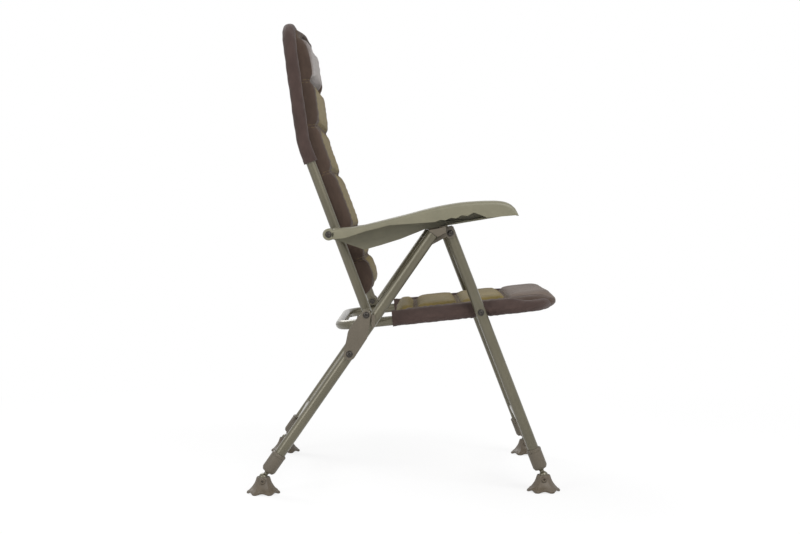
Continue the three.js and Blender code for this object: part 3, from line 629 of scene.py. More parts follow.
class Shape:
    """A piece on the bench: a bmesh in millimetres."""

    def __init__(self) -> None:
        """Starts with nothing."""
        self.mesh = bmesh.new()

    def loft(
        self, rings: Sequence[Sequence[Vector]], closed: bool = False, patterned: bool = False,
    ) -> "Shape":
        """Draws a skin through rings of points, by extruding the last ring's edges to the next.

        Args:
            rings: the rings, all with the same number of points.
            closed: whether the last ring runs on to the first; otherwise both ends are capped.
            patterned: whether to write the cloth's own coordinates, round the ring and along the path.

        Returns:
            This shape.
        """
        if patterned:
            self.mesh.verts.layers.float_vector.new("cloth")
        verts = bmesh.ops.create_circle(
            self.mesh, cap_ends=False, segments=len(rings[0]), radius=1.0,
        )["verts"]
        edges = list({edge for vert in verts for edge in vert.link_edges})
        for vert, point in zip(verts, rings[0]):
            vert.co = point
        first, last_point, run = verts, rings[0][0], 0.0
        self._pattern(verts, rings[0], run)
        for ring in list(rings[1:]) + ([rings[0]] if closed else []):
            where = {tuple(vert.co): i for i, vert in enumerate(verts)}
            made = bmesh.ops.extrude_edge_only(self.mesh, edges=edges)["geom"]
            fresh = [item for item in made if isinstance(item, bmesh.types.BMVert)]
            fresh.sort(key=lambda vert: where[tuple(vert.co)])
            added = set(fresh)
            edges = [
                item
                for item in made if isinstance(item, bmesh.types.BMEdge) and set(item.verts) <= added
            ]
            for vert, point in zip(fresh, ring):
                vert.co = point
            run += (ring[0] - last_point).length
            self._pattern(fresh, ring, run)
            verts, last_point = fresh, ring[0]
        if not closed:
            bmesh.ops.contextual_create(self.mesh, geom=first)
            bmesh.ops.contextual_create(self.mesh, geom=verts)
        return self

    def _pattern(self, verts: Sequence[bmesh.types.BMVert], ring: Sequence[Vector], run: float) -> None:
        """Writes a ring's own coordinates in metres, where the shape has a layer for them."""
        layer = self.mesh.verts.layers.float_vector.get("cloth")
        if layer is None:
            return
        around = 0.0
        for i, vert in enumerate(verts):
            around += (ring[i] - ring[i - 1]).length if i else 0.0
            folded = around if i <= len(ring) // 2 else -around
            vert[layer] = Vector((folded, run, 0.0)) * MILLIMETRE

    def tube(
        self, points: Sequence[Vector], radius: float, lift: Vector, closed: bool = False, sides: int = 36,
    ) -> "Shape":
        """Draws a round tube along a path, starting with that upward direction."""
        section = circle_section(radius, sides)
        return self.loft(rings_along(points, lambda _: section, lift, closed), closed)

    def turned(self, profile: Sequence[tuple[float, float]], place: Matrix, steps: int = 48) -> "Shape":
        """Turns a profile about +Z.

        Args:
            profile: pairs of radius and height, from the axis back to the axis or to its own start.
            place: where the turned body goes.
            steps: the steps of the spin.

        Returns:
            This shape.
        """
        verts = [self.mesh.verts.new((radius, 0.0, height)) for radius, height in profile]
        edges = [self.mesh.edges.new(pair) for pair in zip(verts, verts[1:])]
        before = set(self.mesh.verts) - set(verts)
        bmesh.ops.spin(
            self.mesh, geom=verts + edges, cent=(0, 0, 0), axis=(0, 0, 1), angle=2 * math.pi, steps=steps,
            use_merge=True, use_normal_flip=False, use_duplicate=False,
        )
        fresh = [vert for vert in self.mesh.verts if vert not in before]
        bmesh.ops.remove_doubles(self.mesh, verts=fresh, dist=1e-4)
        fresh = [vert for vert in self.mesh.verts if vert not in before]
        bmesh.ops.transform(self.mesh, matrix=place, verts=fresh)
        return self

    def across(self, profile: Sequence[tuple[float, float]], spot: Spot, steps: int = 40) -> "Shape":
        """Turns a profile about a line across the chair, its heights being distances out to the right."""
        turn = Matrix.Rotation(-math.pi / 2, 4, "Y")
        return self.turned(profile, Matrix.Translation(spot.at()) @ turn, steps)

    def slab(
        self, outline: Sequence[Spot], out_from: float, out_to: float, soften: float, segments: int = 2,
    ) -> "Shape":
        """Cuts a plate to an outline in side view and rounds its edges.

        Args:
            outline: the points of the outline, in order.
            out_from: the distance of its inner face to the sitter's right.
            out_to: the distance of its outer face.
            soften: how far its edges are rounded.
            segments: the steps of the rounding.

        Returns:
            This shape.
        """
        verts = [self.mesh.verts.new(spot.at(-out_from)) for spot in outline]
        face = bmesh.ops.contextual_create(self.mesh, geom=verts)["faces"][0]
        made = bmesh.ops.extrude_face_region(self.mesh, geom=[face])["geom"]
        far = [item for item in made if isinstance(item, bmesh.types.BMVert)]
        bmesh.ops.translate(self.mesh, verts=far, vec=(out_from - out_to, 0.0, 0.0))
        if soften > 0:
            caps = [item for item in made if isinstance(item, bmesh.types.BMFace)] + [face]
            rims = list({edge for cap in caps if cap.is_valid for edge in cap.edges})
            bmesh.ops.bevel(
                self.mesh, geom=rims, offset=soften, offset_type="OFFSET", segments=segments, profile=0.5,
                affect="EDGES", clamp_overlap=True, material=-1,
            )
        return self

    def copied_across(self) -> "Shape":
        """Adds the mirror image on the other side of the chair."""
        bmesh.ops.mirror(
            self.mesh, geom=list(self.mesh.verts) + list(self.mesh.edges) + list(self.mesh.faces),
            matrix=Matrix.Identity(4), merge_dist=-1.0, axis="X",
        )
        return self


@dataclass
class Workshop:
    """Scales each shape to metres, dresses it and sets it on the body that carries it."""

    nodes: dict[str, bpy.types.Object]
    wardrobe: Wardrobe
    count: int = 0

    def fit(
        self, shape: Shape, name: str, nodes: Sequence[str], slot: Slot, crease: float = 32.0,
    ) -> bpy.types.Object:
        """Finishes a piece that stands for nodes of the frame.

        Args:
            shape: the shape, in millimetres.
            name: the piece's name.
            nodes: the nodes it stands for, all on one body.
            slot: its finish.
            crease: the angle in degrees past which an edge stays sharp.

        Returns:
            The piece.
        """
        bench = shape.mesh
        bmesh.ops.remove_doubles(bench, verts=bench.verts, dist=1e-4)
        bmesh.ops.recalc_face_normals(bench, faces=bench.faces)
        bmesh.ops.scale(bench, vec=(MILLIMETRE,) * 3, verts=bench.verts)
        for edge in bench.edges:
            edge.smooth = edge.calc_face_angle(0.0) < math.radians(crease)
        mesh = bpy.data.meshes.new(name)
        bench.to_mesh(mesh)
        bench.free()
        return self.hang(mesh, name, nodes, slot)

    def hang(self, mesh: bpy.types.Mesh, name: str, nodes: Sequence[str], slot: Slot) -> bpy.types.Object:
        """Makes an object of a finished mesh in metres, and lets it stand for nodes of the frame."""
        mesh.polygons.foreach_set("use_smooth", [True] * len(mesh.polygons))
        piece = bpy.data.objects.new(name, mesh)
        bpy.context.scene.collection.objects.link(piece)
        mesh.materials.append(self.wardrobe.material(slot))
        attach(piece, self.nodes[nodes[0]]["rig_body"])
        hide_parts(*nodes)
        self.count += 1
        LOG.info("%s: %d faces", name, len(mesh.polygons))
        return piece

    def fit_pair(
        self, build: Callable[[], Shape], name: str, stems: Sequence[str], slot: Slot, crease: float = 32.0,
    ) -> None:
        """Finishes a right-hand shape and its mirror image.

        Args:
            build: makes the right-hand shape.
            name: the pieces' name, without their side.
            stems: the nodes they stand for, without their side.
            slot: their finish.
            crease: the angle in degrees past which an edge stays sharp.
        """
        for hand in Hand:
            shape = build()
            if hand is Hand.LEFT:
                bmesh.ops.scale(shape.mesh, vec=(-1.0, 1.0, 1.0), verts=shape.mesh.verts)
            self.fit(shape, hand.node(name), [hand.node(stem) for stem in stems], slot, crease)

    def dress_nodes(self, slots: dict[str, Slot]) -> None:
        """Gives the frame's own nodes that stay in view their finish."""
        for name, slot in slots.items():
            node = self.nodes[name]
            if node.hide_render:
                continue
            material = self.wardrobe.material(slot)
            for place in node.material_slots:
                place.material = material
            LOG.info("%s: kept, %s", name, slot.value)


UP = Vector((0.0, 0.0, 1.0))
RIGHTWARD = Vector((-1.0, 0.0, 0.0))


@dataclass
class SeatFrame:
    """The closed loop of tube under the seat, and the lug for each hinge bolt."""

    lines: Lines
    front_reach: float = 157.0
    rear_reach: float = 325.0
    corner: float = 62.0
    lug_foot: float = 56.0
    lug_thickness: float = 6.0
    lug_inset: float = 5.0

    def loop(self) -> list[Vector]:
        """Gives the loop's path, from the right front bolt rearwards and round."""
        out = self.lines.seat_out
        corners = [
            self.lines.seat_side(0.0).at(-out),
            self.lines.seat_side(-self.rear_reach).at(-out),
            self.lines.seat_side(-self.rear_reach).at(out),
            self.lines.seat_side(self.front_reach).at(out),
            self.lines.seat_side(self.front_reach).at(-out),
            self.lines.seat_side(0.0).at(-out),
        ]
        return bent_points(corners, [self.corner] * 4)[:-1]

    def lug(self, shape: Shape) -> None:
        """Adds the right-hand lug: a plate on the side tube, round over the hinge bolt."""
        lines = self.lines
        middle = (lines.hinge.forward - lines.seat_bolt.forward) / math.cos(lines.seat_pitch)
        outline = [
            lines.seat_side(middle - self.lug_foot / 2),
            lines.seat_side(middle + self.lug_foot / 2),
            *arc(lines.hinge, lines.frame_radius, 0.0, math.pi, 16),
        ]
        inner = lines.seat_out + lines.frame_radius - self.lug_inset
        shape.slab(outline, inner, inner + self.lug_thickness, 1.0)

    def build(self, workshop: Workshop) -> None:
        """Builds the seat frame."""
        shape = Shape()
        self.lug(shape)
        shape.copied_across()
        shape.tube(self.loop(), self.lines.frame_radius, UP, closed=True)
        workshop.fit(shape, "seat_tube_loop", ["seat_frame"], Slot.FRAME_PAINT)


@dataclass
class BackFrame:
    """The hoop of tube behind the back, with an eye at each end and a lug for each arm bolt."""

    lines: Lines
    corner: float = 74.0
    arm_reach: float = 199.0
    lug_inset: float = 5.0
    lug_thickness: float = 7.0
    lug_radius: float = 9.0

    def hoop(self, foot: float = 0.0) -> list[Vector]:
        """Gives the hoop's path, from that far up the right side tube round to the left one."""
        lines = self.lines
        knee = lines.hinge.stepped(lines.back_lean, lines.back_bend_reach)
        top = knee.stepped(lines.back_lean - lines.back_bend, lines.back_upper_reach)
        start = lines.hinge.stepped(lines.back_lean, foot)
        out = lines.back_out
        corners = [start.at(-out), knee.at(-out), top.at(-out), top.at(out), knee.at(out), start.at(out)]
        return bent_points(
            corners, [lines.back_bend_radius, self.corner, self.corner, lines.back_bend_radius],
        )

    def fittings(self, shape: Shape) -> None:
        """Adds the right-hand eye on the hinge and the lug under the arm bolt."""
        lines = self.lines
        radius = lines.frame_radius
        shape.across([
            (0.0, lines.back_out - radius), (radius - 0.8, lines.back_out - radius),
            (radius, lines.back_out - radius + 0.8),
            (radius, lines.back_out + radius - 0.8), (radius - 0.8, lines.back_out + radius),
            (0.0, lines.back_out + radius),
        ], lines.hinge)
        root = lines.hinge.stepped(
            lines.back_lean, self.arm_reach * math.cos(math.radians(115.0) - lines.back_lean),
        )
        inner = lines.back_out + radius - self.lug_inset
        shape.slab(
            strap_outline(root, lines.arm_bolt, radius, self.lug_radius), inner, inner + self.lug_thickness,
            1.2,
        )
        shape.across([
            (0.0, inner), (self.lug_radius, inner), (self.lug_radius, lines.arm_in - lines.fit_gap - 0.6),
            (self.lug_radius - 0.6, lines.arm_in - lines.fit_gap), (0.0, lines.arm_in - lines.fit_gap),
        ], lines.arm_bolt)

    def build(self, workshop: Workshop) -> None:
        """Builds the back frame."""
        shape = Shape()
        self.fittings(shape)
        shape.copied_across()
        shape.tube(self.hoop(), self.lines.frame_radius, RIGHTWARD)
        workshop.fit(shape, "back_tube_hoop", ["back_frame"], Slot.FRAME_PAINT)


@dataclass
class Legs:
    """The two A-frames: outer tubes, crossbars with weld beads, brackets and caps."""

    lines: Lines
    tube_seat: float = 43.0
    crossbar_radius: float = 8.0
    crossbar_height: float = 129.0
    cap_length: float = 5.5
    bracket_eye: float = 12.0
    bracket_rise: float = 17.4
    bracket_tab: float = 26.0
    bracket_lip: float = 1.5

    def leg_place(self, ball: Spot, heading: float, out: float) -> Matrix:
        """Gives the frame of a right-hand leg: its own +Z runs up from the ball."""
        return Matrix.Translation(ball.at(-out)) @ Matrix.Rotation(math.pi / 2 - heading, 4, "X")

    def leg(self, ball: Spot, heading: float, out: float, length: float) -> Shape:
        """Builds a right-hand leg tube with its ends rolled in."""
        radius = self.lines.leg_radius
        bore = radius - 1.6
        profile = [
            (bore, self.tube_seat), (radius - 0.6, self.tube_seat), (radius, self.tube_seat + 0.6),
            (radius, length - 0.6), (radius - 0.6, length), (bore, length), (bore, self.tube_seat),
        ]
        return Shape().turned(profile, self.leg_place(ball, heading, out))

    def crossbar(self, ball: Spot, heading: float, out: float) -> Shape:
        """Builds the bar between a pair of legs, with a weld bead at each end."""
        spot = ball.stepped(heading, (self.crossbar_height - ball.height) / math.sin(heading))
        reach = out - self.lines.leg_radius - self.lines.fit_gap
        radius = self.crossbar_radius
        half = [
            (radius, 0.0), (radius, reach - 4.0), (radius + 0.9, reach - 3.0), (radius + 1.9, reach - 1.6),
            (radius + 1.6, reach - 0.4), (radius, reach), (0.0, reach),
        ]
        other = [(r, -h) for r, h in reversed(half)]
        return Shape().across(other[:-1] + half, spot)

    def bracket(self) -> Shape:
        """Builds the right-hand bracket: a plate with the bolt's eye, and a hood over the rear leg."""
        lines = self.lines
        radius, length = lines.leg_radius, lines.rear_length

        def rear(along: float, offset: float) -> Spot:
            """Steps up the rear leg's axis."""
            return lines.rear_ball.stepped(lines.rear_heading, along, offset)

        apex = lines.apex
        tail = rear(length + self.bracket_lip, -radius)
        brow = Spot(apex.forward + self.bracket_eye * 0.3, apex.height + self.bracket_rise)
        slope = tail.heading_to(brow)
        sheet = [
            tail, rear(length - self.bracket_tab, -radius * 0.8),
            rear(length - self.bracket_tab, radius * 0.8),
            rear(length - self.bracket_lip, radius),
            *arc(apex, self.bracket_eye, 1.25 * math.pi, 2.3 * math.pi, 20), brow,
        ]
        front = apex.forward - 7.5 - 2 * self.bracket_lip
        hood = [
            tail, rear(length + lines.fit_gap, -radius), rear(length + lines.fit_gap, radius),
            Spot(front, apex.height + self.bracket_lip),
            Spot(front, tail.height + (front - tail.forward) * math.tan(slope)),
        ]
        shape = Shape()
        shape.slab(sheet, lines.plate_in, lines.plate_out, 0.9)
        shape.slab(hood, lines.plate_out - 1.0, lines.rear_leg_out + radius, 1.8, 3)
        return shape

    def cap(self) -> Shape:
        """Builds the domed cap on top of the right-hand front leg."""
        lines = self.lines
        radius = lines.leg_radius
        top = lines.front_ball.stepped(lines.front_heading, lines.front_length)
        profile = [
            (0.0, -4.0), (radius - 1.9, -4.0), (radius - 1.9, 0.3), (radius - 0.2, 0.3), (radius, 0.7),
            (radius, self.cap_length * 0.3), (radius * 0.93, self.cap_length * 0.55),
            (radius * 0.7, self.cap_length * 0.82),
            (radius * 0.36, self.cap_length * 0.96), (0.0, self.cap_length),
        ]
        place = self.leg_place(top, lines.front_heading, lines.front_leg_out)
        return Shape().turned(profile, place)

    def build(self, workshop: Workshop) -> None:
        """Builds the legs, bars, brackets and caps."""
        lines = self.lines
        workshop.fit_pair(
            lambda: self.leg(lines.rear_ball, lines.rear_heading, lines.rear_leg_out, lines.rear_length),
            "rear_leg_tube", ["rear_leg"], Slot.FRAME_PAINT,
        )
        workshop.fit_pair(
            lambda: self.leg(lines.front_ball, lines.front_heading, lines.front_leg_out, lines.front_length),
            "front_leg_tube", ["front_leg"], Slot.FRAME_PAINT,
        )
        for name, ball, heading, out in (
            ("rear", lines.rear_ball, lines.rear_heading, lines.rear_leg_out),
            ("front", lines.front_ball, lines.front_heading, lines.front_leg_out),
        ):
            bar = self.crossbar(ball, heading, out)
            workshop.fit(bar, f"{name}_crossbar_tube", [f"{name}_crossbar"], Slot.FRAME_PAINT)
        workshop.fit_pair(self.bracket, "apex_hood", ["apex_bracket"], Slot.FITTING_MOULDING)
        workshop.fit_pair(self.cap, "leg_top_cap", ["front_leg_cap"], Slot.FITTING_MOULDING)


@dataclass
class Links:
    """The pair of links that carry the hinge line on the rear legs."""

    lines: Lines
    head_radius: float = 11.0
    tail_radius: float = 14.0
    boss_radius: float = 9.0
    crest_share: float = 0.54
    heel_share: float = 0.348
    belly_share: float = 0.444

    def plate(self) -> Shape:
        """Builds the right-hand link: a plate with a belly behind, and a boss against the leg."""
        lines = self.lines
        reach = lines.link_bolt.distance_to(lines.hinge)
        crest = lines.link_bolt.stepped(lines.rear_heading, reach * self.crest_share, self.tail_radius - 1.5)
        heel = lines.link_bolt.stepped(
            lines.rear_heading, reach * self.heel_share, self.tail_radius - reach * self.belly_share,
        )
        head = arc(lines.hinge, self.head_radius, 0.0, 0.85 * math.pi, 16)
        control = Spot(heel.forward, heel.height + self.tail_radius)
        curve = []
        for i in range(1, 13):
            t = i / 12
            parts = [(1 - t) ** 2, 2 * t * (1 - t), t ** 2]
            points = [head[-1], control, heel]
            curve.append(Spot(
                sum(share * point.forward for share, point in zip(parts, points)),
                sum(share * point.height for share, point in zip(parts, points)),
            ))
        tail = arc(lines.link_bolt, self.tail_radius, -0.95 * math.pi, lines.rear_heading - math.pi / 2, 20)
        shape = Shape().slab([*tail, crest, *head, *curve], lines.link_in, lines.link_out, 1.3, 3)
        inner = lines.rear_leg_out + lines.leg_radius + lines.fit_gap
        shape.across([
            (0.0, inner), (self.boss_radius - 0.5, inner), (self.boss_radius, inner + 0.5),
            (self.boss_radius, lines.link_in + 1.0), (0.0, lines.link_in + 1.0),
        ], lines.link_bolt)
        return shape

    def build(self, workshop: Workshop) -> None:
        """Builds both links."""
        workshop.fit_pair(self.plate, "hinge_link", ["link_plate"], Slot.FITTING_MOULDING)


@dataclass
class Bolts:
    """Button-head bolts on washers, each with a socket in its head and a nut where the solid has one."""

    lines: Lines
    head_radius: float = 7.5
    head_height: float = 4.0
    shank_radius: float = 4.0
    nut_height: float = 5.0

    def bolt(self, spot: Spot, head: float, tip: float, nut: bool) -> Shape:
        """Builds a right-hand bolt.

        Args:
            spot: where it crosses the chair.
            head: the distance out to the head's seat.
            tip: the distance out to its tip, or to the nut's outer face.
            nut: whether a nut holds its tip.

        Returns:
            The bolt.
        """
        radius, high = self.head_radius, self.head_height
        shape = Shape().across([
            (0.0, head + 1.7), (2.3, head + 1.7), (2.7, head + high - 0.2), (3.2, head + high),
            (4.4, head + high - 0.35),
            (5.6, head + high - 1.1), (6.3, head + high - 2.1), (6.4, head + 1.3),
            (radius - 0.15, head + 1.3),
            (radius, head + 1.1), (radius, head + 0.1), (radius - 0.1, head), (0.0, head),
        ], spot)
        low = tip - (self.nut_height if nut else 0.0)
        shape.across([(0.0, low), (self.shank_radius - 0.6, low), (self.shank_radius, low + 0.6),
                      (self.shank_radius, head + 0.5), (0.0, head + 0.5)], spot, 24)
        if nut:
            shape.across([
                (0.0, tip - self.nut_height + 0.2), (radius * 0.86, tip - self.nut_height + 0.2),
                (radius, tip - self.nut_height + 0.9), (radius, tip - 0.1), (0.0, tip - 0.1),
            ], spot, 6)
        return shape

    def build(self, workshop: Workshop) -> None:
        """Builds the bolts that show from outside."""
        lines = self.lines
        gap = lines.fit_gap
        seat_inner = lines.seat_out - lines.frame_radius - gap
        arm_lug = lines.back_out + lines.frame_radius - 5.0
        for name, spot, head, tip, nut in (
            ("seat_bolt", lines.seat_bolt, lines.front_leg_out + lines.leg_radius + gap, seat_inner, True),
            (
                "apex_bolt", lines.apex, lines.rear_leg_out - lines.leg_radius,
                lines.front_leg_out - lines.leg_radius - gap, True,
            ),
            (
                "link_bolt", lines.link_bolt, lines.link_out + gap,
                lines.rear_leg_out - lines.leg_radius - gap, True,
            ),
            ("link_head_bolt", lines.hinge, lines.link_out + gap, lines.plate_out + gap, False),
            ("arm_bolt", lines.arm_bolt, lines.arm_out + gap, arm_lug, False),
        ):
            workshop.fit_pair(
                lambda: self.bolt(spot, head, tip, nut), f"{name}_button", [name], Slot.BOLT_STEEL,
            )


@dataclass
class Armrests:
    """Moulded armrests: a shell open beneath, a boss on the arm bolt and a rack of notches over the leg."""

    lines: Lines
    length: float = 425.0
    height: float = 77.0
    wall: float = 3.6
    corner: float = 8.5
    crown: float = 1.6
    boss_radius: float = 13.5
    rack_pitch: float = 20.5
    rack_notches: int = 6
    rack_slope: float = math.radians(9.5)
    rack_floor: float = 607.13
    top: tuple[tuple[float, float], ...] = (
        (0.02, 0.175), (0.153, 0.235), (0.29, 0.425), (0.424, 0.61), (0.539, 0.783), (0.621, 0.874),
        (0.704, 0.947), (0.81, 0.985), (0.9, 0.99), (0.95, 0.93), (0.985, 0.76), (1.0, 0.57),
    )
    skirt: tuple[tuple[float, float], ...] = (
        (0.02, -0.14), (0.087, -0.105), (0.188, 0.085), (0.322, 0.273), (0.46, 0.322), (0.56, 0.362),
        (0.587, 0.423),
        (0.614, 0.412), (0.645, 0.488), (0.672, 0.465), (0.7, 0.562), (0.729, 0.538), (0.765, 0.642),
        (0.835, 0.488),
        (1.0, 0.565),
    )
    rail: tuple[tuple[float, float], ...] = (
        (0.02, -0.16), (0.06, -0.22), (0.185, -0.46), (0.269, -0.33), (0.375, -0.148), (0.508, 0.145),
        (0.94, 0.544),
        (1.0, 0.565),
    )

    def _level(self, line: Sequence[tuple[float, float]], share: float) -> float:
        """Reads a side-view line at a share of the armrest's length, as a height from the floor."""
        shares, levels = zip(*line)
        return self.lines.arm_bolt.height + self.height * float(np.interp(share, shares, levels))

    def _smooth_top(self, share: float) -> float:
        """Reads the top line as a curve without corners."""
        spread = 0.03 * min(1.0, (1.0 - share) * 12.0)
        return sum(self._level(self.top, share + spread * k) for k in (-1, -0.5, 0, 0.5, 1)) / 5

    def _ring(self, share: float) -> list[Vector]:
        """Draws the shell's section at a share of its length: outside first, then back round the inside."""
        spot_forward = self.lines.arm_bolt.forward + share * self.length
        top = self._smooth_top(share)
        outer, inner = self._level(self.skirt, share), self._level(self.rail, share)
        ends = [(self.lines.arm_out, min(outer, top - 0.4)), (self.lines.arm_in, min(inner, top - 0.4))]
        half = (self.lines.arm_out - self.lines.arm_in) / 2
        middle = self.lines.arm_in + half
        bend = min(self.corner, 0.8 * (top - ends[0][1]))
        turns = [math.pi / 2 * k / 6 for k in range(7)]
        shoulder = top - self.crown
        skin = [ends[0]]
        skin += [
            (middle + half - bend + bend * math.cos(a), shoulder - bend + bend * math.sin(a))
            for a in turns
        ]
        skin += [
            (middle + half * k, shoulder + self.crown * (1 - k * k))
            for k in (0.5, 0.25, 0.0, -0.25, -0.5)
        ]
        skin += [
            (middle - half + bend - bend * math.cos(a), shoulder - bend + bend * math.sin(a))
            for a in reversed(turns)
        ]
        skin.append(ends[1])
        reach = half - self.wall
        lining = []
        for out, level in reversed(skin):
            side = max(-reach, min(reach, out - middle))
            floor = ends[0][1] if side > 0 else ends[1][1]
            roof = shoulder + self.crown * (1 - (side / half) ** 2) - self.wall
            lining.append((middle + side, min(max(level, floor), max(roof, floor + 0.05))))
        lining[0] = (middle - reach, ends[1][1])
        lining[-1] = (middle + reach, ends[0][1])
        return [Spot(spot_forward, level).at(-out) for out, level in skin + lining]

    def _rack(self) -> list[Spot]:
        """Draws the rack's outline: a bar whose underside has the notches that drop on to the leg."""
        lines = self.lines
        apex_reach = lines.apex.forward - lines.arm_bolt.forward

        def floor(reach: float, rise: float = 0.0) -> Spot:
            """Steps along the rack's sloping underside."""
            level = self.rack_floor + (reach - apex_reach) * math.tan(self.rack_slope) + rise
            return Spot(lines.arm_bolt.forward + reach, level)

        first, last = apex_reach - self.rack_pitch, apex_reach + self.rack_pitch * self.rack_notches
        low = [floor(first)]
        for notch in range(self.rack_notches):
            middle = apex_reach + notch * self.rack_pitch
            low += [
                floor(middle + share * self.rack_pitch, rise)
                for share, rise in ((-0.3, 0), (-0.2, 4), (0.2, 4), (0.3, 0))
            ]
        return [*low, floor(last), floor(last, 12.0), floor(first, 12.0)]

    def shell(self) -> Shape:
        """Builds the right-hand armrest."""
        lines = self.lines
        shares = [0.02 + 0.94 * k / 90 for k in range(91)] + [
            0.966, 0.973, 0.98, 0.986, 0.991, 0.995, 0.998, 1.0,
        ]
        shape = Shape().loft([self._ring(share) for share in shares])
        inner, outer, radius = lines.arm_in, lines.arm_out, self.boss_radius
        shape.across([
            (0.0, inner), (radius - 2.4, inner), (radius - 0.7, inner + 0.7), (radius, inner + 2.4),
            (radius, outer - 2.4), (radius - 0.7, outer - 0.7), (radius - 2.4, outer), (0.0, outer),
        ], lines.arm_bolt)
        shape.slab(self._rack(), inner + self.wall - 1.0, inner + self.wall + 12.0, 0.5, 1)
        return shape

    def build(self, workshop: Workshop) -> None:
        """Builds both armrests."""
        workshop.fit_pair(self.shell, "armrest_moulding", ["armrest"], Slot.ARM_MOULDING, 40.0)


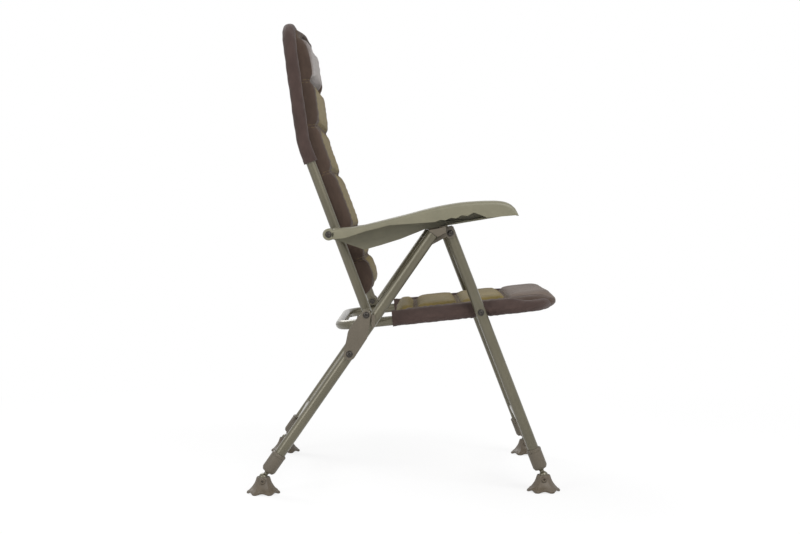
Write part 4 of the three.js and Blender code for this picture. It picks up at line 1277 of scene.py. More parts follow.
@dataclass
class LegEnd:
    """One leg's lower end: the inner leg on its ball, the collar with its lever, the mud foot."""

    lines: Lines
    end: str
    ball: Spot
    heading: float
    out: float
    ball_radius: float = 10.5
    collar_radius: float = 16.4
    collar_low: float = 17.0
    collar_length: float = 49.0
    pin_drop: float = 8.0
    lever_eye: float = 4.2
    lever_thickness: float = 4.0
    lever_width: float = 15.0
    lever_flare: float = 5.0
    ear_thickness: float = 3.0
    ear_radius: float = 5.0
    foot_radius: float = 38.0
    foot_webs: int = 6

    @property
    def place(self) -> Matrix:
        """The frame of the right-hand leg: its own +Z runs up from the ball."""
        return Matrix.Translation(self.ball.at(-self.out)) @ Matrix.Rotation(
            math.pi / 2 - self.heading, 4, "X",
        )

    @property
    def pin(self) -> Spot:
        """The lever's pin, in the leg's own frame with the lever forward."""
        return Spot(
            16.0 + self.lines.fit_gap + self.lever_eye,
            self.collar_low + self.collar_length - self.pin_drop,
        )

    def _turn_in(self, shape: Shape) -> Shape:
        """Turns a shape from the leg's own frame, with its lever forward, to the chair's inner side."""
        turn = self.place @ Matrix.Rotation(math.pi / 2, 4, "Z")
        bmesh.ops.transform(shape.mesh, matrix=turn, verts=shape.mesh.verts)
        return shape

    def inner_leg(self) -> Shape:
        """Builds the right-hand inner leg, from its ball up into the outer tube."""
        radius, bore = self.lines.inner_leg_radius, self.lines.inner_leg_radius - 1.6
        waist = math.acos(5.0 / self.ball_radius)
        ball = []
        for k in range(13):
            turn = -math.pi / 2 + (waist + math.pi / 2) * k / 12
            ball.append((self.ball_radius * math.cos(turn), self.ball_radius * math.sin(turn)))
        ball[0] = (0.0, -self.ball_radius)
        return Shape().turned([
            *ball, (5.0, 13.0), (6.4, 14.2), (radius - 0.8, 17.4), (radius, 18.6), (radius, 200.0),
            (bore, 200.0),
            (bore, 43.0), (0.0, 43.0),
        ], self.place)

    def collar(self) -> Shape:
        """Builds the right-hand collar: chamfered ends, a stepped lip and two ears for the lever's pin."""
        low, high = self.collar_low, self.collar_low + self.collar_length
        radius = self.collar_radius
        inner, tube = self.lines.inner_leg_radius + 0.3, self.lines.leg_radius + 0.3
        shape = Shape().turned([
            (inner, low), (radius - 3.2, low), (radius - 0.6, low + 4.4), (radius, low + 6.4),
            (radius, high - 8.6),
            (radius - 0.5, high - 8.0), (radius - 0.5, high - 7.2), (radius + 0.4, high - 6.4),
            (radius + 0.4, high - 2.2),
            (radius - 1.6, high), (tube, high), (tube, 42.7), (inner, 42.7), (inner, low),
        ], Matrix.Identity(4), 40)
        inside = self.lever_width / 2 + self.lines.fit_gap
        ear = strap_outline(Spot(14.5, self.pin.height), self.pin, self.ear_radius, self.ear_radius)
        shape.slab(ear, inside, inside + self.ear_thickness, 0.5)
        shape.slab(ear, -inside - self.ear_thickness, -inside, 0.5)
        return self._turn_in(shape)

    def lever(self) -> Shape:
        """Builds the right-hand lever: a bowed plate on its eye, ribbed where a thumb lifts it."""
        pin, half = self.pin, self.lever_thickness / 2
        low = Spot(pin.forward + self.lever_flare, self.collar_low)
        bend = Spot(pin.forward, self.collar_low + 2 * self.lever_eye)
        outline = [
            Spot(pin.forward - half, pin.height), Spot(bend.forward - half, bend.height),
            Spot(low.forward - half, low.height),
            Spot(low.forward + half, low.height), Spot(bend.forward + half, bend.height + self.lever_eye),
            Spot(pin.forward + self.lever_eye, pin.height),
        ]
        shape = Shape().slab(outline, -self.lever_width / 2, self.lever_width / 2, 0.9)
        eye = self.lever_eye
        shape.across([
            (0.0, -self.lever_width / 2), (eye - 0.5, -self.lever_width / 2),
            (eye, 0.5 - self.lever_width / 2),
            (eye, self.lever_width / 2 - 0.5), (eye - 0.5, self.lever_width / 2), (0.0, self.lever_width / 2),
        ], pin, 24)
        return self._turn_in(shape)

    def foot(self) -> Shape:
        """Builds the right-hand mud foot: a webbed cone, hollow beneath, with a boss and cross-pin."""
        radius, low = self.foot_radius, -self.ball.height
        shape = Shape().turned([
            (0.0, -13.5), (12.0, -14.5), (22.0, -21.0), (31.0, low + 6.5), (34.5, low + 1.5),
            (35.6, low + 0.1),
            (37.2, low), (radius, low + 1.2), (radius - 0.2, low + 4.0), (35.6, low + 6.4), (31.6, low + 9.0),
            (27.0, -22.0), (23.2, -17.2), (20.0, -12.0), (17.8, -7.0), (16.4, -2.6), (15.4, 0.6), (14.6, 1.8),
            (13.4, 2.0), (11.6, 1.6), (11.1, 0.0), (10.4, -4.0), (8.0, -7.8), (4.0, -10.4), (0.0, -11.2),
        ], Matrix.Identity(4), 96)
        for vert in shape.mesh.verts:
            reach = math.hypot(vert.co.x, vert.co.y)
            if reach < 14.0 and vert.co.z > -14.0:
                continue
            turn = math.atan2(vert.co.y, vert.co.x) + math.pi / self.foot_webs
            valley = abs(math.sin(self.foot_webs / 2 * turn))
            share = min(max((reach - 14.0) / (radius - 14.0), 0.0), 1.0)
            narrow = 1.0 - 0.13 * valley * math.sin(math.pi * min(share * 1.15, 1.0) * 0.62)
            vert.co.x *= narrow
            vert.co.y *= narrow
            vert.co.z += 7.5 * max(valley - 0.35, 0.0) ** 1.4 * share ** 2
        bmesh.ops.transform(
            shape.mesh, matrix=Matrix.Translation(self.ball.at(-self.out)), verts=shape.mesh.verts,
        )
        cheek = Spot(self.ball.forward, self.ball.height - 6.0)
        for inward in (False, True):
            near = self.out + (-21.5 if inward else 13.0)
            far = near + 8.5
            mouth, step = (near, 1.0) if inward else (far, -1.0)
            back = far if inward else near
            profile = [
                (0.0, mouth + 3.2 * step), (2.4, mouth + 3.2 * step), (2.5, mouth + 0.3 * step), (2.9, mouth),
                (5.4, mouth), (6.2, mouth + 0.8 * step), (6.4, back), (0.0, back),
            ]
            shape.across(profile, cheek, 28)
        return shape

    def build(self, workshop: Workshop) -> None:
        """Builds both sides' lower ends."""
        workshop.fit_pair(self.inner_leg, f"{self.end}_ball_leg", [f"{self.end}_inner_leg"], Slot.FRAME_PAINT)
        workshop.fit_pair(
            self.collar, f"{self.end}_clamp_collar", [f"{self.end}_collar"], Slot.FITTING_MOULDING,
        )
        workshop.fit_pair(self.lever, f"{self.end}_clamp_lever", [f"{self.end}_lever"], Slot.FITTING_MOULDING)
        workshop.fit_pair(self.foot, f"{self.end}_mud_foot", [f"{self.end}_foot"], Slot.FOOT_MOULDING)


def eased(value: np.ndarray | float, low: float, high: float) -> np.ndarray:
    """Rises smoothly from 0 at low to 1 at high, either way round."""
    share = np.clip((value - low) / (high - low), 0.0, 1.0)
    return share * share * (3.0 - 2.0 * share)


def over_seat(lines: Lines, flat: np.ndarray) -> np.ndarray:
    """Lays a cushion on the seat.

    Args:
        lines: the chair's lines.
        flat: points across, forward of the front bolt and above the side tubes, in millimetres.

    Returns:
        The points in the frame, in millimetres.
    """
    across, along, lift = flat.T
    sine, cosine = math.sin(lines.seat_pitch), math.cos(lines.seat_pitch)
    forward = lines.seat_bolt.forward + along * cosine - lift * sine
    height = lines.seat_bolt.height + along * sine + lift * cosine
    return np.column_stack((-across, -forward, height))


def over_back(lines: Lines, flat: np.ndarray) -> np.ndarray:
    """Lays a cushion on the bent back.

    Args:
        lines: the chair's lines.
        flat: points across, up the side tubes from the hinge and in front of them, in millimetres.

    Returns:
        The points in the frame, in millimetres.
    """
    across, along, ahead = flat.T
    radius = lines.back_bend_radius
    before = lines.back_bend_reach - radius * math.tan(lines.back_bend / 2)
    turn = np.clip((along - before) / radius, 0.0, lines.back_bend)
    heading = lines.back_lean - turn
    past = np.maximum(along - before - radius * lines.back_bend, 0.0)
    rest = np.where(along < before, along - before, past)
    centre = lines.hinge.stepped(lines.back_lean, before, radius)
    forward = centre.forward + rest * np.cos(heading) + (ahead - radius) * np.sin(heading)
    height = centre.height + rest * np.sin(heading) - (ahead - radius) * np.cos(heading)
    return np.column_stack((across, -forward, height))


@dataclass
class SoftBench:
    """Fills a cut cushion, lets its cloth settle under pressure, and smooths it."""

    voxel: float = 0.005
    pressure: float = 4.0
    last_frame: int = 20
    most_travel: float = 0.006

    def shown(self, piece: bpy.types.Object) -> bpy.types.Mesh:
        """Gives the piece's mesh as its modifiers leave it."""
        graph = bpy.context.evaluated_depsgraph_get()
        graph.update()
        return bpy.data.meshes.new_from_object(piece.evaluated_get(graph))

    def places(self, mesh: bpy.types.Mesh) -> np.ndarray:
        """Reads a mesh's points."""
        flat = np.empty(len(mesh.vertices) * 3)
        mesh.vertices.foreach_get("co", flat)
        return flat.reshape(-1, 3)

    def settle(self, piece: bpy.types.Object) -> None:
        """Blows the cloth up from inside, and caps how far each point travels."""
        before = self.places(piece.data)
        cloth = piece.modifiers.new("cloth", "CLOTH")
        cloth.settings.quality = 5
        cloth.settings.mass = 0.3
        cloth.settings.tension_stiffness = 20.0
        cloth.settings.compression_stiffness = 20.0
        cloth.settings.shear_stiffness = 5.0
        cloth.settings.bending_stiffness = 0.6
        cloth.settings.use_pressure = True
        cloth.settings.uniform_pressure_force = self.pressure
        cloth.settings.effector_weights.gravity = 0.0
        cloth.collision_settings.use_collision = False
        cloth.point_cache.frame_start = 1
        cloth.point_cache.frame_end = self.last_frame
        for frame in range(1, self.last_frame + 1):
            bpy.context.scene.frame_set(frame)
        travel = self.places(self.shown(piece)) - before
        piece.modifiers.clear()
        bpy.context.scene.frame_set(1)
        reach = np.linalg.norm(travel, axis=1, keepdims=True)
        travel *= np.minimum(1.0, self.most_travel / np.maximum(reach, 1e-9))
        piece.data.vertices.foreach_set("co", (before + travel).ravel())
        piece.data.update()

    def refined(self, bench: bmesh.types.BMesh, name: str) -> bpy.types.Mesh:
        """Turns a closed cut cushion into fine, even cloth.

        Args:
            bench: the cushion in metres, which is used up.
            name: a name for the work.

        Returns:
            The cushion's mesh, still in its flat space.
        """
        mesh = bpy.data.meshes.new(name)
        bench.to_mesh(mesh)
        bench.free()
        piece = bpy.data.objects.new(name, mesh)
        bpy.context.scene.collection.objects.link(piece)
        remesh = piece.modifiers.new("remesh", "REMESH")
        remesh.mode = "VOXEL"
        remesh.voxel_size = self.voxel
        even = self.shown(piece)
        piece.modifiers.clear()
        piece.data = even
        self.settle(piece)
        smooth = piece.modifiers.new("smooth", "SMOOTH")
        smooth.factor = 0.5
        smooth.iterations = 3
        finer = piece.modifiers.new("finer", "SUBSURF")
        finer.levels = finer.render_levels = 1
        fine = self.shown(piece)
        bpy.data.objects.remove(piece)
        return fine


@dataclass
class Cushion:
    """A quilted cushion, drawn flat in millimetres: across, along, and out of the plane that it lies on."""

    lines: Lines
    bench: SoftBench
    name: str = "cushion"
    nodes: tuple[str, ...] = ()
    slot: Slot = Slot.PAD_CLOTH
    fill: float = 0.7
    half_width: float = 200.0
    start: float = 0.0
    end: float = 400.0
    seam_shares: tuple[float, ...] = ()
    corner: float = 50.0
    edge: float = 18.0
    tail: float = 18.0
    nose: float = 18.0
    block_half: float = 165.0
    block_gap: float = 8.0
    block_corner: float = 24.0
    inner_blocks: int = 3
    inner_foot: float = 8.0
    groove: float = 4.0
    groove_width: float = 6.0
    pucker: float = 0.9
    cut_step: float = 4.0

    @property
    def seams(self) -> list[float]:
        """The distances along of its ends and seams."""
        return [
            self.start, *(self.start + share * (self.end - self.start) for share in self.seam_shares),
            self.end,
        ]

    def half_at(self, along: np.ndarray) -> np.ndarray:
        """Gives half its width, drawn in round the corners at its far end."""
        return self.half_width - self.corner * (1 - rounded_off(self.end - along, self.corner))

    def fullness(self, share: np.ndarray, along: np.ndarray) -> np.ndarray:
        """Gives how full it is, from 0 at its rim to 1, at shares across and distances along."""
        ends = rounded_off(along - self.start, self.tail) * rounded_off(self.end - along, self.nose)
        return ends * rounded_off((1 - np.abs(share)) * self.half_width, self.edge)

    def block_distance(self, across: np.ndarray, along: np.ndarray, number: int) -> np.ndarray:
        """Gives the distance outside a block's rounded outline, below 0 inside it."""
        low, high = self.seams[number] + self.block_gap / 2, self.seams[number + 1] - self.block_gap / 2
        half, reach = self.block_half - self.block_corner, (high - low) / 2 - self.block_corner
        sideways = np.abs(across) - half
        lengthways = np.abs(along - (low + high) / 2) - reach
        outside = np.hypot(np.maximum(sideways, 0), np.maximum(lengthways, 0))
        return outside + np.minimum(np.maximum(sideways, lengthways), 0) - self.block_corner

    def inner_distance(self, across: np.ndarray, along: np.ndarray) -> np.ndarray:
        """Gives the distance outside the nearest block of the inner colour."""
        blocks = [self.block_distance(across, along, i) for i in range(self.inner_blocks)]
        return np.minimum.reduce(blocks) if blocks else np.full_like(across, 1e3)

    def seam_distance(self, along: np.ndarray) -> np.ndarray:
        """Gives the signed distance from the nearest seam."""
        rows = np.array([along - seam for seam in self.seams[1:-1]] or [np.full_like(along, 1e3)])
        nearest = np.abs(rows).argmin(axis=0)
        return np.take_along_axis(rows, nearest[None], axis=0)[0]

    def over(self, across: np.ndarray, along: np.ndarray, full: np.ndarray) -> np.ndarray:
        """Gives the height of its face."""
        return 10.0 * full + 0.0 * across

    def under(self, across: np.ndarray, along: np.ndarray, full: np.ndarray) -> np.ndarray:
        """Gives the height of its underside."""
        return -10.0 * full + 0.0 * across

    def lay(self, flat: np.ndarray) -> np.ndarray:
        """Lays its points in the frame."""
        return over_seat(self.lines, flat)

    def zone(self, flat: np.ndarray) -> np.ndarray:
        """Gives the distance outside the inner colour, which only its face has."""
        return np.maximum(self.inner_distance(flat[:, 0], flat[:, 1]), self.inner_foot - flat[:, 2])

    def panel(self, flat: np.ndarray) -> np.ndarray:
        """Gives the distance outside the paler panel."""
        return np.full(len(flat), 1e3)

    def creases(self, flat: np.ndarray, facing: np.ndarray) -> np.ndarray:
        """Gives how far each point of the face sinks at seams, block edges and puckers."""
        across, along = flat[:, 0], flat[:, 1]
        seam = np.abs(self.seam_distance(along))
        rim = np.abs(self.inner_distance(across, along))
        wander = np.sin(across * 0.043 + 1.3) + 0.6 * np.sin(across * 0.171 + along * 0.02)
        ripple = np.sin(across * 0.41 + 1.7 * np.sin(across * 0.09)) * np.exp(-(seam / 16.0) ** 2)
        ripple += 0.8 * np.sin(along * 0.36 + 1.1 * np.sin(along * 0.11)) * np.exp(-(rim / 13.0) ** 2)
        sunk = self.groove * (1 + 0.12 * wander) * np.exp(-(seam / self.groove_width) ** 2)
        sunk += 0.45 * self.groove * np.exp(-(rim / (self.groove_width * 0.7)) ** 2)
        return (sunk + self.pucker * ripple) * eased(facing, 0.15, 0.6)

    def cut(self) -> bmesh.types.BMesh:
        """Cuts both faces from one grid and joins them round the rim, in metres."""
        bench = bmesh.new()
        bmesh.ops.create_grid(
            bench, x_segments=round(2 * self.half_width / self.cut_step),
            y_segments=round((self.end - self.start) / self.cut_step), size=1.0,
        )
        made = bmesh.ops.extrude_face_region(bench, geom=list(bench.faces))["geom"]
        face = {item for item in made if isinstance(item, bmesh.types.BMVert)}
        verts = list(bench.verts)
        raised = np.array([vert in face for vert in verts])
        share = np.array([vert.co.x for vert in verts])
        along = self.start + np.array([vert.co.y + 1 for vert in verts]) / 2 * (self.end - self.start)
        across = share * self.half_at(along)
        full = self.fullness(share, along)
        height = np.where(raised, self.over(across, along, full) + 1.0, self.under(across, along, full) - 1.0)
        for vert, point in zip(verts, np.column_stack((across, along, height)) * MILLIMETRE):
            vert.co = point
        bmesh.ops.recalc_face_normals(bench, faces=bench.faces)
        return bench

    def write(self, mesh: bpy.types.Mesh, name: str, kind: str, values: np.ndarray) -> None:
        """Writes an attribute on the cushion's points."""
        layer = mesh.attributes.new(name, kind, "POINT")
        layer.data.foreach_set(
            "vector" if kind == "FLOAT_VECTOR" else "value", values.astype(np.float32).ravel(),
        )

    def build(self, workshop: Workshop) -> bpy.types.Object:
        """Builds, quilts, lays and dresses the cushion.

        Args:
            workshop: the workshop that dresses it.

        Returns:
            The cushion.
        """
        mesh = self.bench.refined(self.cut(), self.name)
        flat = self.bench.places(mesh) / MILLIMETRE
        normals = np.empty(len(mesh.vertices) * 3)
        mesh.vertex_normals.foreach_get("vector", normals)
        normals = normals.reshape(-1, 3)
        self.write(mesh, "cloth", "FLOAT_VECTOR", flat * MILLIMETRE)
        self.write(mesh, "zone", "FLOAT", self.zone(flat) * MILLIMETRE)
        self.write(mesh, "panel", "FLOAT", self.panel(flat) * MILLIMETRE)
        self.write(mesh, "seam", "FLOAT", self.seam_distance(flat[:, 1]) * MILLIMETRE)
        sunk = self.creases(flat, normals[:, 2])
        flat = flat - normals * sunk[:, None]
        mesh.vertices.foreach_set("co", (self.lay(flat) * MILLIMETRE).ravel())
        mesh.update()
        piece = workshop.hang(mesh, self.name, self.nodes, self.slot)
        return piece


@dataclass
class SeatCushion(Cushion):
    """The seat: three plump blocks in a darker border, and a paler panel over the front tube."""

    name: str = "seat_cushion"
    nodes: tuple[str, ...] = ("seat_pad",)
    half_width: float = 213.8
    start: float = -202.0
    end: float = 189.0
    seam_shares: tuple[float, ...] = (0.143, 0.404, 0.69)
    corner: float = 62.0
    tail: float = 30.0
    nose: float = 46.0
    block_half: float = 178.0
    side: float = 14.0
    crown: float = 4.0
    plump: float = 8.0
    rim: float = 7.0
    depth: float = 7.0
    squashed: float = 0.35

    def over(self, across: np.ndarray, along: np.ndarray, full: np.ndarray) -> np.ndarray:
        """Gives the height of its face: crowned, and plump in each block."""
        blocks = [self.block_distance(across, along, i) for i in range(len(self.seams) - 1)]
        plump = self.plump * rounded_off(-np.minimum.reduce(blocks), 30.0)
        crown = self.crown * (1 - (across / self.half_width) ** 2)
        return self.rim + (self.side + crown + plump - self.rim) * full

    def under(self, across: np.ndarray, along: np.ndarray, full: np.ndarray) -> np.ndarray:
        """Gives the height of its underside."""
        return self.rim - (self.rim + self.depth) * np.sqrt(full) + 0.0 * across

    def panel(self, flat: np.ndarray) -> np.ndarray:
        """Gives the distance outside the front block."""
        return self.block_distance(flat[:, 0], flat[:, 1], len(self.seams) - 2)

    def build(self, workshop: Workshop) -> bpy.types.Object:
        """Builds the cushion, and gives it a mesh of its own."""
        piece = super().build(workshop)
        foot = self.lines.seat_side(0.0).at()
        upward = self.lines.seat_side(0.0, 1.0).at() - foot
        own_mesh(piece)
        return piece


@dataclass
class BackCushion(Cushion):
    """The back: five plump blocks in a darker border, which runs on round the pillow's recess to the top."""

    name: str = "back_cushion"
    nodes: tuple[str, ...] = ("back_pad",)
    half_width: float = 206.5
    start: float = 34.0
    end: float = 691.0
    seam_shares: tuple[float, ...] = (0.131, 0.246, 0.457, 0.637, 0.796, 0.957)
    corner: float = 52.0
    edge: float = 12.0
    tail: float = 50.0
    nose: float = 50.0
    inner_blocks: int = 5
    inner_foot: float = 15.0
    block_half: float = 168.0
    front: float = 32.0
    rear: float = 5.5
    plump: float = 8.0
    recess_block: int = 5
    recess_half: float = 181.0
    recess_depth: float = 20.0

    def recess(self, across: np.ndarray, along: np.ndarray) -> np.ndarray:
        """Gives the share of the pillow's recess, from 0 outside it to 1 on its floor."""
        low, high = self.seams[self.recess_block], self.seams[self.recess_block + 1]
        inside = np.minimum(
            self.recess_half - np.abs(across), (high - low) / 2 - np.abs(along - (low + high) / 2),
        )
        return eased(inside, -5.0, 6.0)

    def over(self, across: np.ndarray, along: np.ndarray, full: np.ndarray) -> np.ndarray:
        """Gives how far its front lies ahead."""
        plump = self.plump * (rounded_off(np.abs(self.seam_distance(along)), 30.0) - 0.6)
        rim = self.rear + 3.5
        return rim + (self.front + plump - self.recess_depth * self.recess(across, along) - rim) * full

    def under(self, across: np.ndarray, along: np.ndarray, full: np.ndarray) -> np.ndarray:
        """Gives how far its rear lies ahead."""
        return self.rear + 3.5 * (1 - full) + 0.0 * across

    def lay(self, flat: np.ndarray) -> np.ndarray:
        """Lays it on the back."""
        return over_back(self.lines, flat)


@dataclass
class BackPanel(Cushion):
    """The lined cloth stretched between the back's tubes."""

    name: str = "back_lining"
    nodes: tuple[str, ...] = ("back_panel",)
    slot: Slot = Slot.EDGE_CLOTH
    fill: float = 0.4
    half_width: float = 204.0
    start: float = 96.0
    end: float = 660.0
    seam_shares: tuple[float, ...] = (0.04, 0.36, 0.66, 0.95)
    corner: float = 40.0
    edge: float = 8.0
    tail: float = 8.0
    nose: float = 8.0
    inner_blocks: int = 0
    groove: float = 1.6
    half_thickness: float = 3.2
    belly: float = 3.0

    def over(self, across: np.ndarray, along: np.ndarray, full: np.ndarray) -> np.ndarray:
        """Gives how far its front lies ahead."""
        return self.half_thickness * full + 0.0 * across

    def under(self, across: np.ndarray, along: np.ndarray, full: np.ndarray) -> np.ndarray:
        """Gives how far its rear lies ahead, a little slack in the middle."""
        seam = np.abs(self.seam_distance(along))
        slack = self.belly * (1 - (across / self.half_width) ** 2) * eased(seam, 0.0, 40.0)
        return -(self.half_thickness + slack) * full

    def lay(self, flat: np.ndarray) -> np.ndarray:
        """Lays it on the back."""
        return over_back(self.lines, flat)

    def creases(self, flat: np.ndarray, facing: np.ndarray) -> np.ndarray:
        """Gives the shallow creases at its seams, on the rear."""
        return super().creases(flat, -facing) * 0.6


@dataclass
class Pillow(Cushion):
    """The head pillow, plain all over."""

    name: str = "head_pillow"
    nodes: tuple[str, ...] = ("pillow",)
    slot: Slot = Slot.PILLOW_CLOTH
    fill: float = 0.8
    half_width: float = 175.0
    start: float = 559.5
    end: float = 662.0
    corner: float = 20.0
    edge: float = 20.0
    tail: float = 20.0
    nose: float = 20.0
    inner_blocks: int = 0
    groove: float = 0.0
    middle: float = 25.0
    half_thickness: float = 11.0

    def over(self, across: np.ndarray, along: np.ndarray, full: np.ndarray) -> np.ndarray:
        """Gives how far its front lies ahead."""
        return self.middle + self.half_thickness * full + 0.0 * across

    def under(self, across: np.ndarray, along: np.ndarray, full: np.ndarray) -> np.ndarray:
        """Gives how far its rear lies ahead."""
        return self.middle - self.half_thickness * full + 0.0 * across

    def lay(self, flat: np.ndarray) -> np.ndarray:
        """Lays it on the back."""
        return over_back(self.lines, flat)

    def creases(self, flat: np.ndarray, facing: np.ndarray) -> np.ndarray:
        """Gives the soft drag lines at its ends."""
        across, along, _ = flat.T
        near_end = np.exp(-((self.half_width - np.abs(across)) / 42.0) ** 2)
        return 1.1 * np.sin(along * 0.33 + 0.02 * across) * near_end


def evenly(points: Sequence[Vector], step: float) -> list[Vector]:
    """Sets points the same distance apart along a path.

    Args:
        points: the path.
        step: about how far apart.

    Returns:
        The new points, both ends included.
    """
    lengths = [0.0]
    for before, after in zip(points, points[1:]):
        lengths.append(lengths[-1] + (after - before).length)
    count = round(lengths[-1] / step)
    table = np.array([tuple(point) for point in points])
    runs = np.linspace(0.0, lengths[-1], count + 1)
    return [Vector(row) for row in np.column_stack([np.interp(runs, lengths, table[:, i]) for i in range(3)])]


@dataclass
class Sleeves:
    """The cloth round the seat's front and sides, and round the upper part of the back's hoop."""

    lines: Lines
    seat: SeatFrame
    back: BackFrame
    seat_radius: float = 13.0
    seat_rise: float = 11.0
    seat_rear: float = 202.0
    notch: float = 18.0
    back_radius: float = 15.2
    back_foot: float = 368.0
    hem: float = 9.0
    hem_rise: float = 0.7
    step: float = 4.0
    sides: int = 44

    def seat_section(self, point: Vector, run: float, rest: float) -> list[tuple[float, float]]:
        """Draws the seat cloth's section at a point of the side and front tubes.

        Args:
            point: the point on the tube's axis.
            run: the distance from the cloth's first end.
            rest: the distance from its last end.

        Returns:
            The offsets outwards and upwards.
        """
        lines = self.lines
        forward, height = -point.y - lines.seat_bolt.forward, point.z - lines.seat_bolt.height
        along = forward * math.cos(lines.seat_pitch) + height * math.sin(lines.seat_pitch)
        gathered = 1 - eased(abs(along), self.notch - 7.0, self.notch + 3.0)
        near = math.exp(-((abs(along) - self.notch) / 26.0) ** 2)
        hem = self.hem_rise * (1 - eased(min(run, rest), self.hem - 1.0, self.hem + 1.0))
        rise = self.seat_rise * (1 - eased(along, 60.0, 130.0))
        section = []
        for i in range(self.sides):
            turn = 2 * math.pi * i / self.sides
            ripple = 0.28 * math.sin(along * 0.13 + 2 * turn) + 0.2 * math.sin(along * 0.37 - turn)
            ripple += 0.75 * near * math.sin(along * 0.42 + 2.5 * math.sin(turn))
            outer = max(math.cos(turn - math.radians(-40.0)), 0.0)
            radius = self.seat_radius + ripple + hem - 1.5 * gathered * outer
            lift = rise * eased(turn, math.radians(40.0), math.radians(120.0)) * (
                1 - eased(turn, math.radians(190.0), math.radians(250.0)))
            section.append((radius * math.cos(turn), radius * math.sin(turn) + lift))
        return section

    def back_section(self, run: float, rest: float) -> list[tuple[float, float]]:
        """Draws the back sleeve's section, that far from its two ends."""
        hem = self.hem_rise * (1 - eased(min(run, rest), self.hem - 1.0, self.hem + 1.0))
        middle = eased(min(run, rest), 0.0, 60.0)
        section = []
        for i in range(self.sides):
            turn = 2 * math.pi * i / self.sides
            ripple = 0.35 * math.sin(run * 0.071 + 2 * turn) + 0.3 * middle * math.sin(run * 0.19 - 3 * turn)
            radius = self.back_radius + ripple + hem
            section.append((radius * math.cos(turn), radius * math.sin(turn)))
        return section

    def build(self, workshop: Workshop) -> None:
        """Builds both cloths."""
        lines, out = self.lines, self.lines.seat_out
        corners = [
            lines.seat_side(-self.seat_rear).at(-out), lines.seat_side(self.seat.front_reach).at(-out),
            lines.seat_side(self.seat.front_reach).at(out), lines.seat_side(-self.seat_rear).at(out),
        ]
        path = evenly(bent_points(corners, [self.seat.corner] * 2), self.step)
        last = len(path) - 1
        rings = rings_along(
            path, lambda i: self.seat_section(path[i], i * self.step, (last - i) * self.step),
            lines.seat_side(0.0, 1.0).at() - lines.seat_side(0.0).at(),
        )
        cloth = Shape().loft(rings, patterned=True)
        workshop.fit(
            cloth, "seat_side_cloth", ["seat_sleeve_right", "seat_sleeve_left"], Slot.EDGE_CLOTH, 60.0,
        )
        hoop = evenly(self.back.hoop(self.back_foot), self.step)
        end = len(hoop) - 1
        rings = rings_along(
            hoop, lambda i: self.back_section(i * self.step, (end - i) * self.step), RIGHTWARD,
        )
        sleeve = Shape().loft(rings, patterned=True)
        workshop.fit(sleeve, "back_hoop_sleeve", ["back_sleeve"], Slot.EDGE_CLOTH, 60.0)


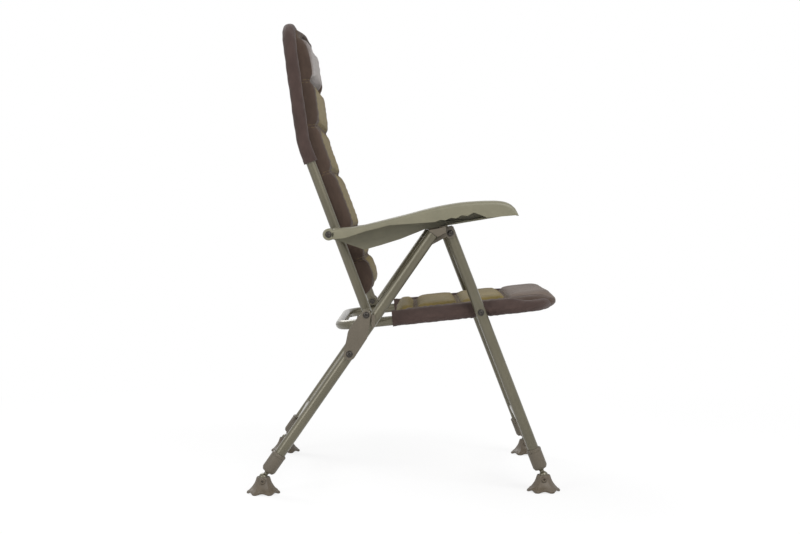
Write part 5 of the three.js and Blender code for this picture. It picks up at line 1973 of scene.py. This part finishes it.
@dataclass
class Studio:
    """A plain pale floor, soft lamps and the photograph's camera, in metres."""

    camera_place: tuple[float, float, float] = (-3.456, -0.0136, 0.630)
    sight: tuple[float, float, float] = (1.0, 0.0071, -0.0369)
    lens: float = 63.45
    ambient: float = 0.62
    floor_radius: float = 40.0
    floor_shadow: float = 0.22
    shadow_fade: tuple[float, float] = (0.75, 1.9)

    def world(self) -> None:
        """Lights the studio with soft grey, and shows white to the camera and in reflections."""
        world = bpy.data.worlds.new("studio")
        bpy.context.scene.world = world
        world.use_nodes = True
        tree = world.node_tree
        tree.nodes.clear()
        path = tree.nodes.new("ShaderNodeLightPath")
        glossy = self._most(tree, path.outputs["Is Camera Ray"], path.outputs["Is Glossy Ray"])
        seen = self._most(tree, glossy, path.outputs["Is Transmission Ray"])
        soft, white = tree.nodes.new("ShaderNodeBackground"), tree.nodes.new("ShaderNodeBackground")
        soft.inputs["Strength"].default_value = self.ambient
        soft.inputs["Color"].default_value = (1.0, 1.0, 1.0, 1.0)
        white.inputs["Color"].default_value = (1.0, 1.0, 1.0, 1.0)
        mix = tree.nodes.new("ShaderNodeMixShader")
        output = tree.nodes.new("ShaderNodeOutputWorld")
        tree.links.new(seen, mix.inputs[0])
        tree.links.new(soft.outputs[0], mix.inputs[1])
        tree.links.new(white.outputs[0], mix.inputs[2])
        tree.links.new(mix.outputs[0], output.inputs["Surface"])

    def _most(
        self, tree: bpy.types.NodeTree, first: bpy.types.NodeSocket, second: bpy.types.NodeSocket,
    ) -> bpy.types.NodeSocket:
        """Takes the larger of two sockets."""
        node = tree.nodes.new("ShaderNodeMath")
        node.operation = "MAXIMUM"
        tree.links.new(first, node.inputs[0])
        tree.links.new(second, node.inputs[1])
        return node.outputs[0]

    def floor(self) -> None:
        """Lays the floor: pale, nearly white to the camera, with the chair's soft shadow."""
        bench = bmesh.new()
        bmesh.ops.create_circle(bench, cap_ends=True, segments=96, radius=self.floor_radius)
        mesh = bpy.data.meshes.new("floor")
        bench.to_mesh(mesh)
        bench.free()
        floor = bpy.data.objects.new("floor", mesh)
        bpy.context.scene.collection.objects.link(floor)
        material = bpy.data.materials.new("pale_floor")
        material.use_nodes = True
        tree = material.node_tree
        tree.nodes.clear()
        path = tree.nodes.new("ShaderNodeLightPath")
        place = tree.nodes.new("ShaderNodeTexCoord")
        distance = tree.nodes.new("ShaderNodeVectorMath")
        distance.operation = "LENGTH"
        fade = tree.nodes.new("ShaderNodeMapRange")
        fade.interpolation_type = "SMOOTHSTEP"
        fade.inputs["From Min"].default_value, fade.inputs["From Max"].default_value = self.shadow_fade
        fade.inputs["To Min"].default_value = 1.0 - self.floor_shadow
        share = tree.nodes.new("ShaderNodeMath")
        share.operation = "MULTIPLY"
        tree.links.new(place.outputs["Object"], distance.inputs[0])
        tree.links.new(distance.outputs["Value"], fade.inputs["Value"])
        tree.links.new(fade.outputs["Result"], share.inputs[1])
        tree.links.new(path.outputs["Is Camera Ray"], share.inputs[0])
        pale, white = tree.nodes.new("ShaderNodeBsdfDiffuse"), tree.nodes.new("ShaderNodeEmission")
        pale.inputs["Color"].default_value = (0.9, 0.9, 0.9, 1.0)
        white.inputs["Strength"].default_value = 1.0
        mix = tree.nodes.new("ShaderNodeMixShader")
        output = tree.nodes.new("ShaderNodeOutputMaterial")
        tree.links.new(share.outputs[0], mix.inputs[0])
        tree.links.new(pale.outputs[0], mix.inputs[1])
        tree.links.new(white.outputs[0], mix.inputs[2])
        tree.links.new(mix.outputs[0], output.inputs["Surface"])
        mesh.materials.append(material)

    def lamp(self, name: str, place: Sequence[float], size: tuple[float, float], power: float) -> None:
        """Hangs a soft lamp that faces the chair.

        Args:
            name: its name.
            place: where it hangs.
            size: its width and height.
            power: its power in watts.
        """
        light = bpy.data.lights.new(name, "AREA")
        light.shape = "RECTANGLE"
        light.size, light.size_y = size
        light.energy = power
        lamp = bpy.data.objects.new(name, light)
        lamp.location = place
        aim = Vector((0.0, 0.0, 0.5)) - Vector(place)
        lamp.rotation_euler = aim.to_track_quat("-Z", "Y").to_euler()
        bpy.context.scene.collection.objects.link(lamp)

    def build(self) -> None:
        """Sets up the whole studio."""
        scene = bpy.context.scene
        scene.view_settings.view_transform = "Standard"
        self.world()
        self.floor()
        self.lamp("key", (-2.6, -1.6, 3.0), (2.4, 1.6), 90.0)
        self.lamp("fill", (-2.8, 2.6, 1.6), (1.8, 1.8), 35.0)
        self.lamp("rim", (2.2, 1.4, 2.6), (1.6, 1.6), 50.0)
        camera = bpy.data.cameras.new("camera")
        camera.lens = self.lens
        camera.sensor_width = 36.0
        view = bpy.data.objects.new("camera", camera)
        view.location = self.camera_place
        view.rotation_euler = Vector(self.sight).to_track_quat("-Z", "Y").to_euler()
        scene.collection.objects.link(view)
        scene.camera = view


FINISHES: dict[Slot, PaintedTube | MouldedPlastic | BlackenedSteel | BrushedCloth] = {
    Slot.FRAME_PAINT: PaintedTube((0.104, 0.093, 0.06)),
    Slot.ARM_MOULDING: MouldedPlastic((0.153, 0.143, 0.094), roughness=0.4),
    Slot.FITTING_MOULDING: MouldedPlastic((0.093, 0.077, 0.054)),
    Slot.FOOT_MOULDING: MouldedPlastic((0.084, 0.065, 0.043), bloom=0.25),
    Slot.BOLT_STEEL: BlackenedSteel((0.05, 0.045, 0.04)),
    Slot.PAD_CLOTH: BrushedCloth(
        (0.06, 0.04, 0.03), inner=(0.145, 0.108, 0.034), panel=(0.115, 0.088, 0.071),
    ),
    Slot.EDGE_CLOTH: BrushedCloth((0.055, 0.036, 0.031)),
    Slot.PILLOW_CLOTH: BrushedCloth((0.142, 0.113, 0.1), nap=0.0005, sheen=0.5),
}


def kept_nodes() -> dict[str, Slot]:
    """Lists the frame's own nodes that stay in view."""
    kept = {}
    for hand in Hand:
        kept[hand.node("link_stop")] = Slot.FITTING_MOULDING
        kept[hand.node("seat_spacer")] = Slot.FITTING_MOULDING
        kept[hand.node("front_lever_pin")] = Slot.BOLT_STEEL
        kept[hand.node("rear_lever_pin")] = Slot.BOLT_STEEL
        kept[hand.node("hinge_bolt")] = Slot.BOLT_STEEL
    return kept


def main() -> None:
    """Loads the frame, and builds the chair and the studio."""
    logging.basicConfig(level=logging.INFO, format="%(name)s: %(message)s")
    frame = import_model()
    lines = Lines()
    workshop = Workshop(frame["nodes"], Wardrobe(FINISHES))
    seat_frame, back_frame = SeatFrame(lines), BackFrame(lines)
    seat_frame.build(workshop)
    back_frame.build(workshop)
    Legs(lines).build(workshop)
    Links(lines).build(workshop)
    Bolts(lines).build(workshop)
    Armrests(lines).build(workshop)
    LegEnd(lines, "rear", lines.rear_ball, lines.rear_heading, lines.rear_leg_out).build(workshop)
    LegEnd(lines, "front", lines.front_ball, lines.front_heading, lines.front_leg_out).build(workshop)
    bench = SoftBench()
    SeatCushion(lines, bench).build(workshop)
    BackCushion(lines, bench).build(workshop)
    BackPanel(lines, bench).build(workshop)
    Pillow(lines, bench).build(workshop)
    Sleeves(lines, seat_frame, back_frame).build(workshop)
    workshop.dress_nodes(kept_nodes())
    Studio().build()
    LOG.info("%d pieces", workshop.count)


if __name__ == "__main__":
    main()
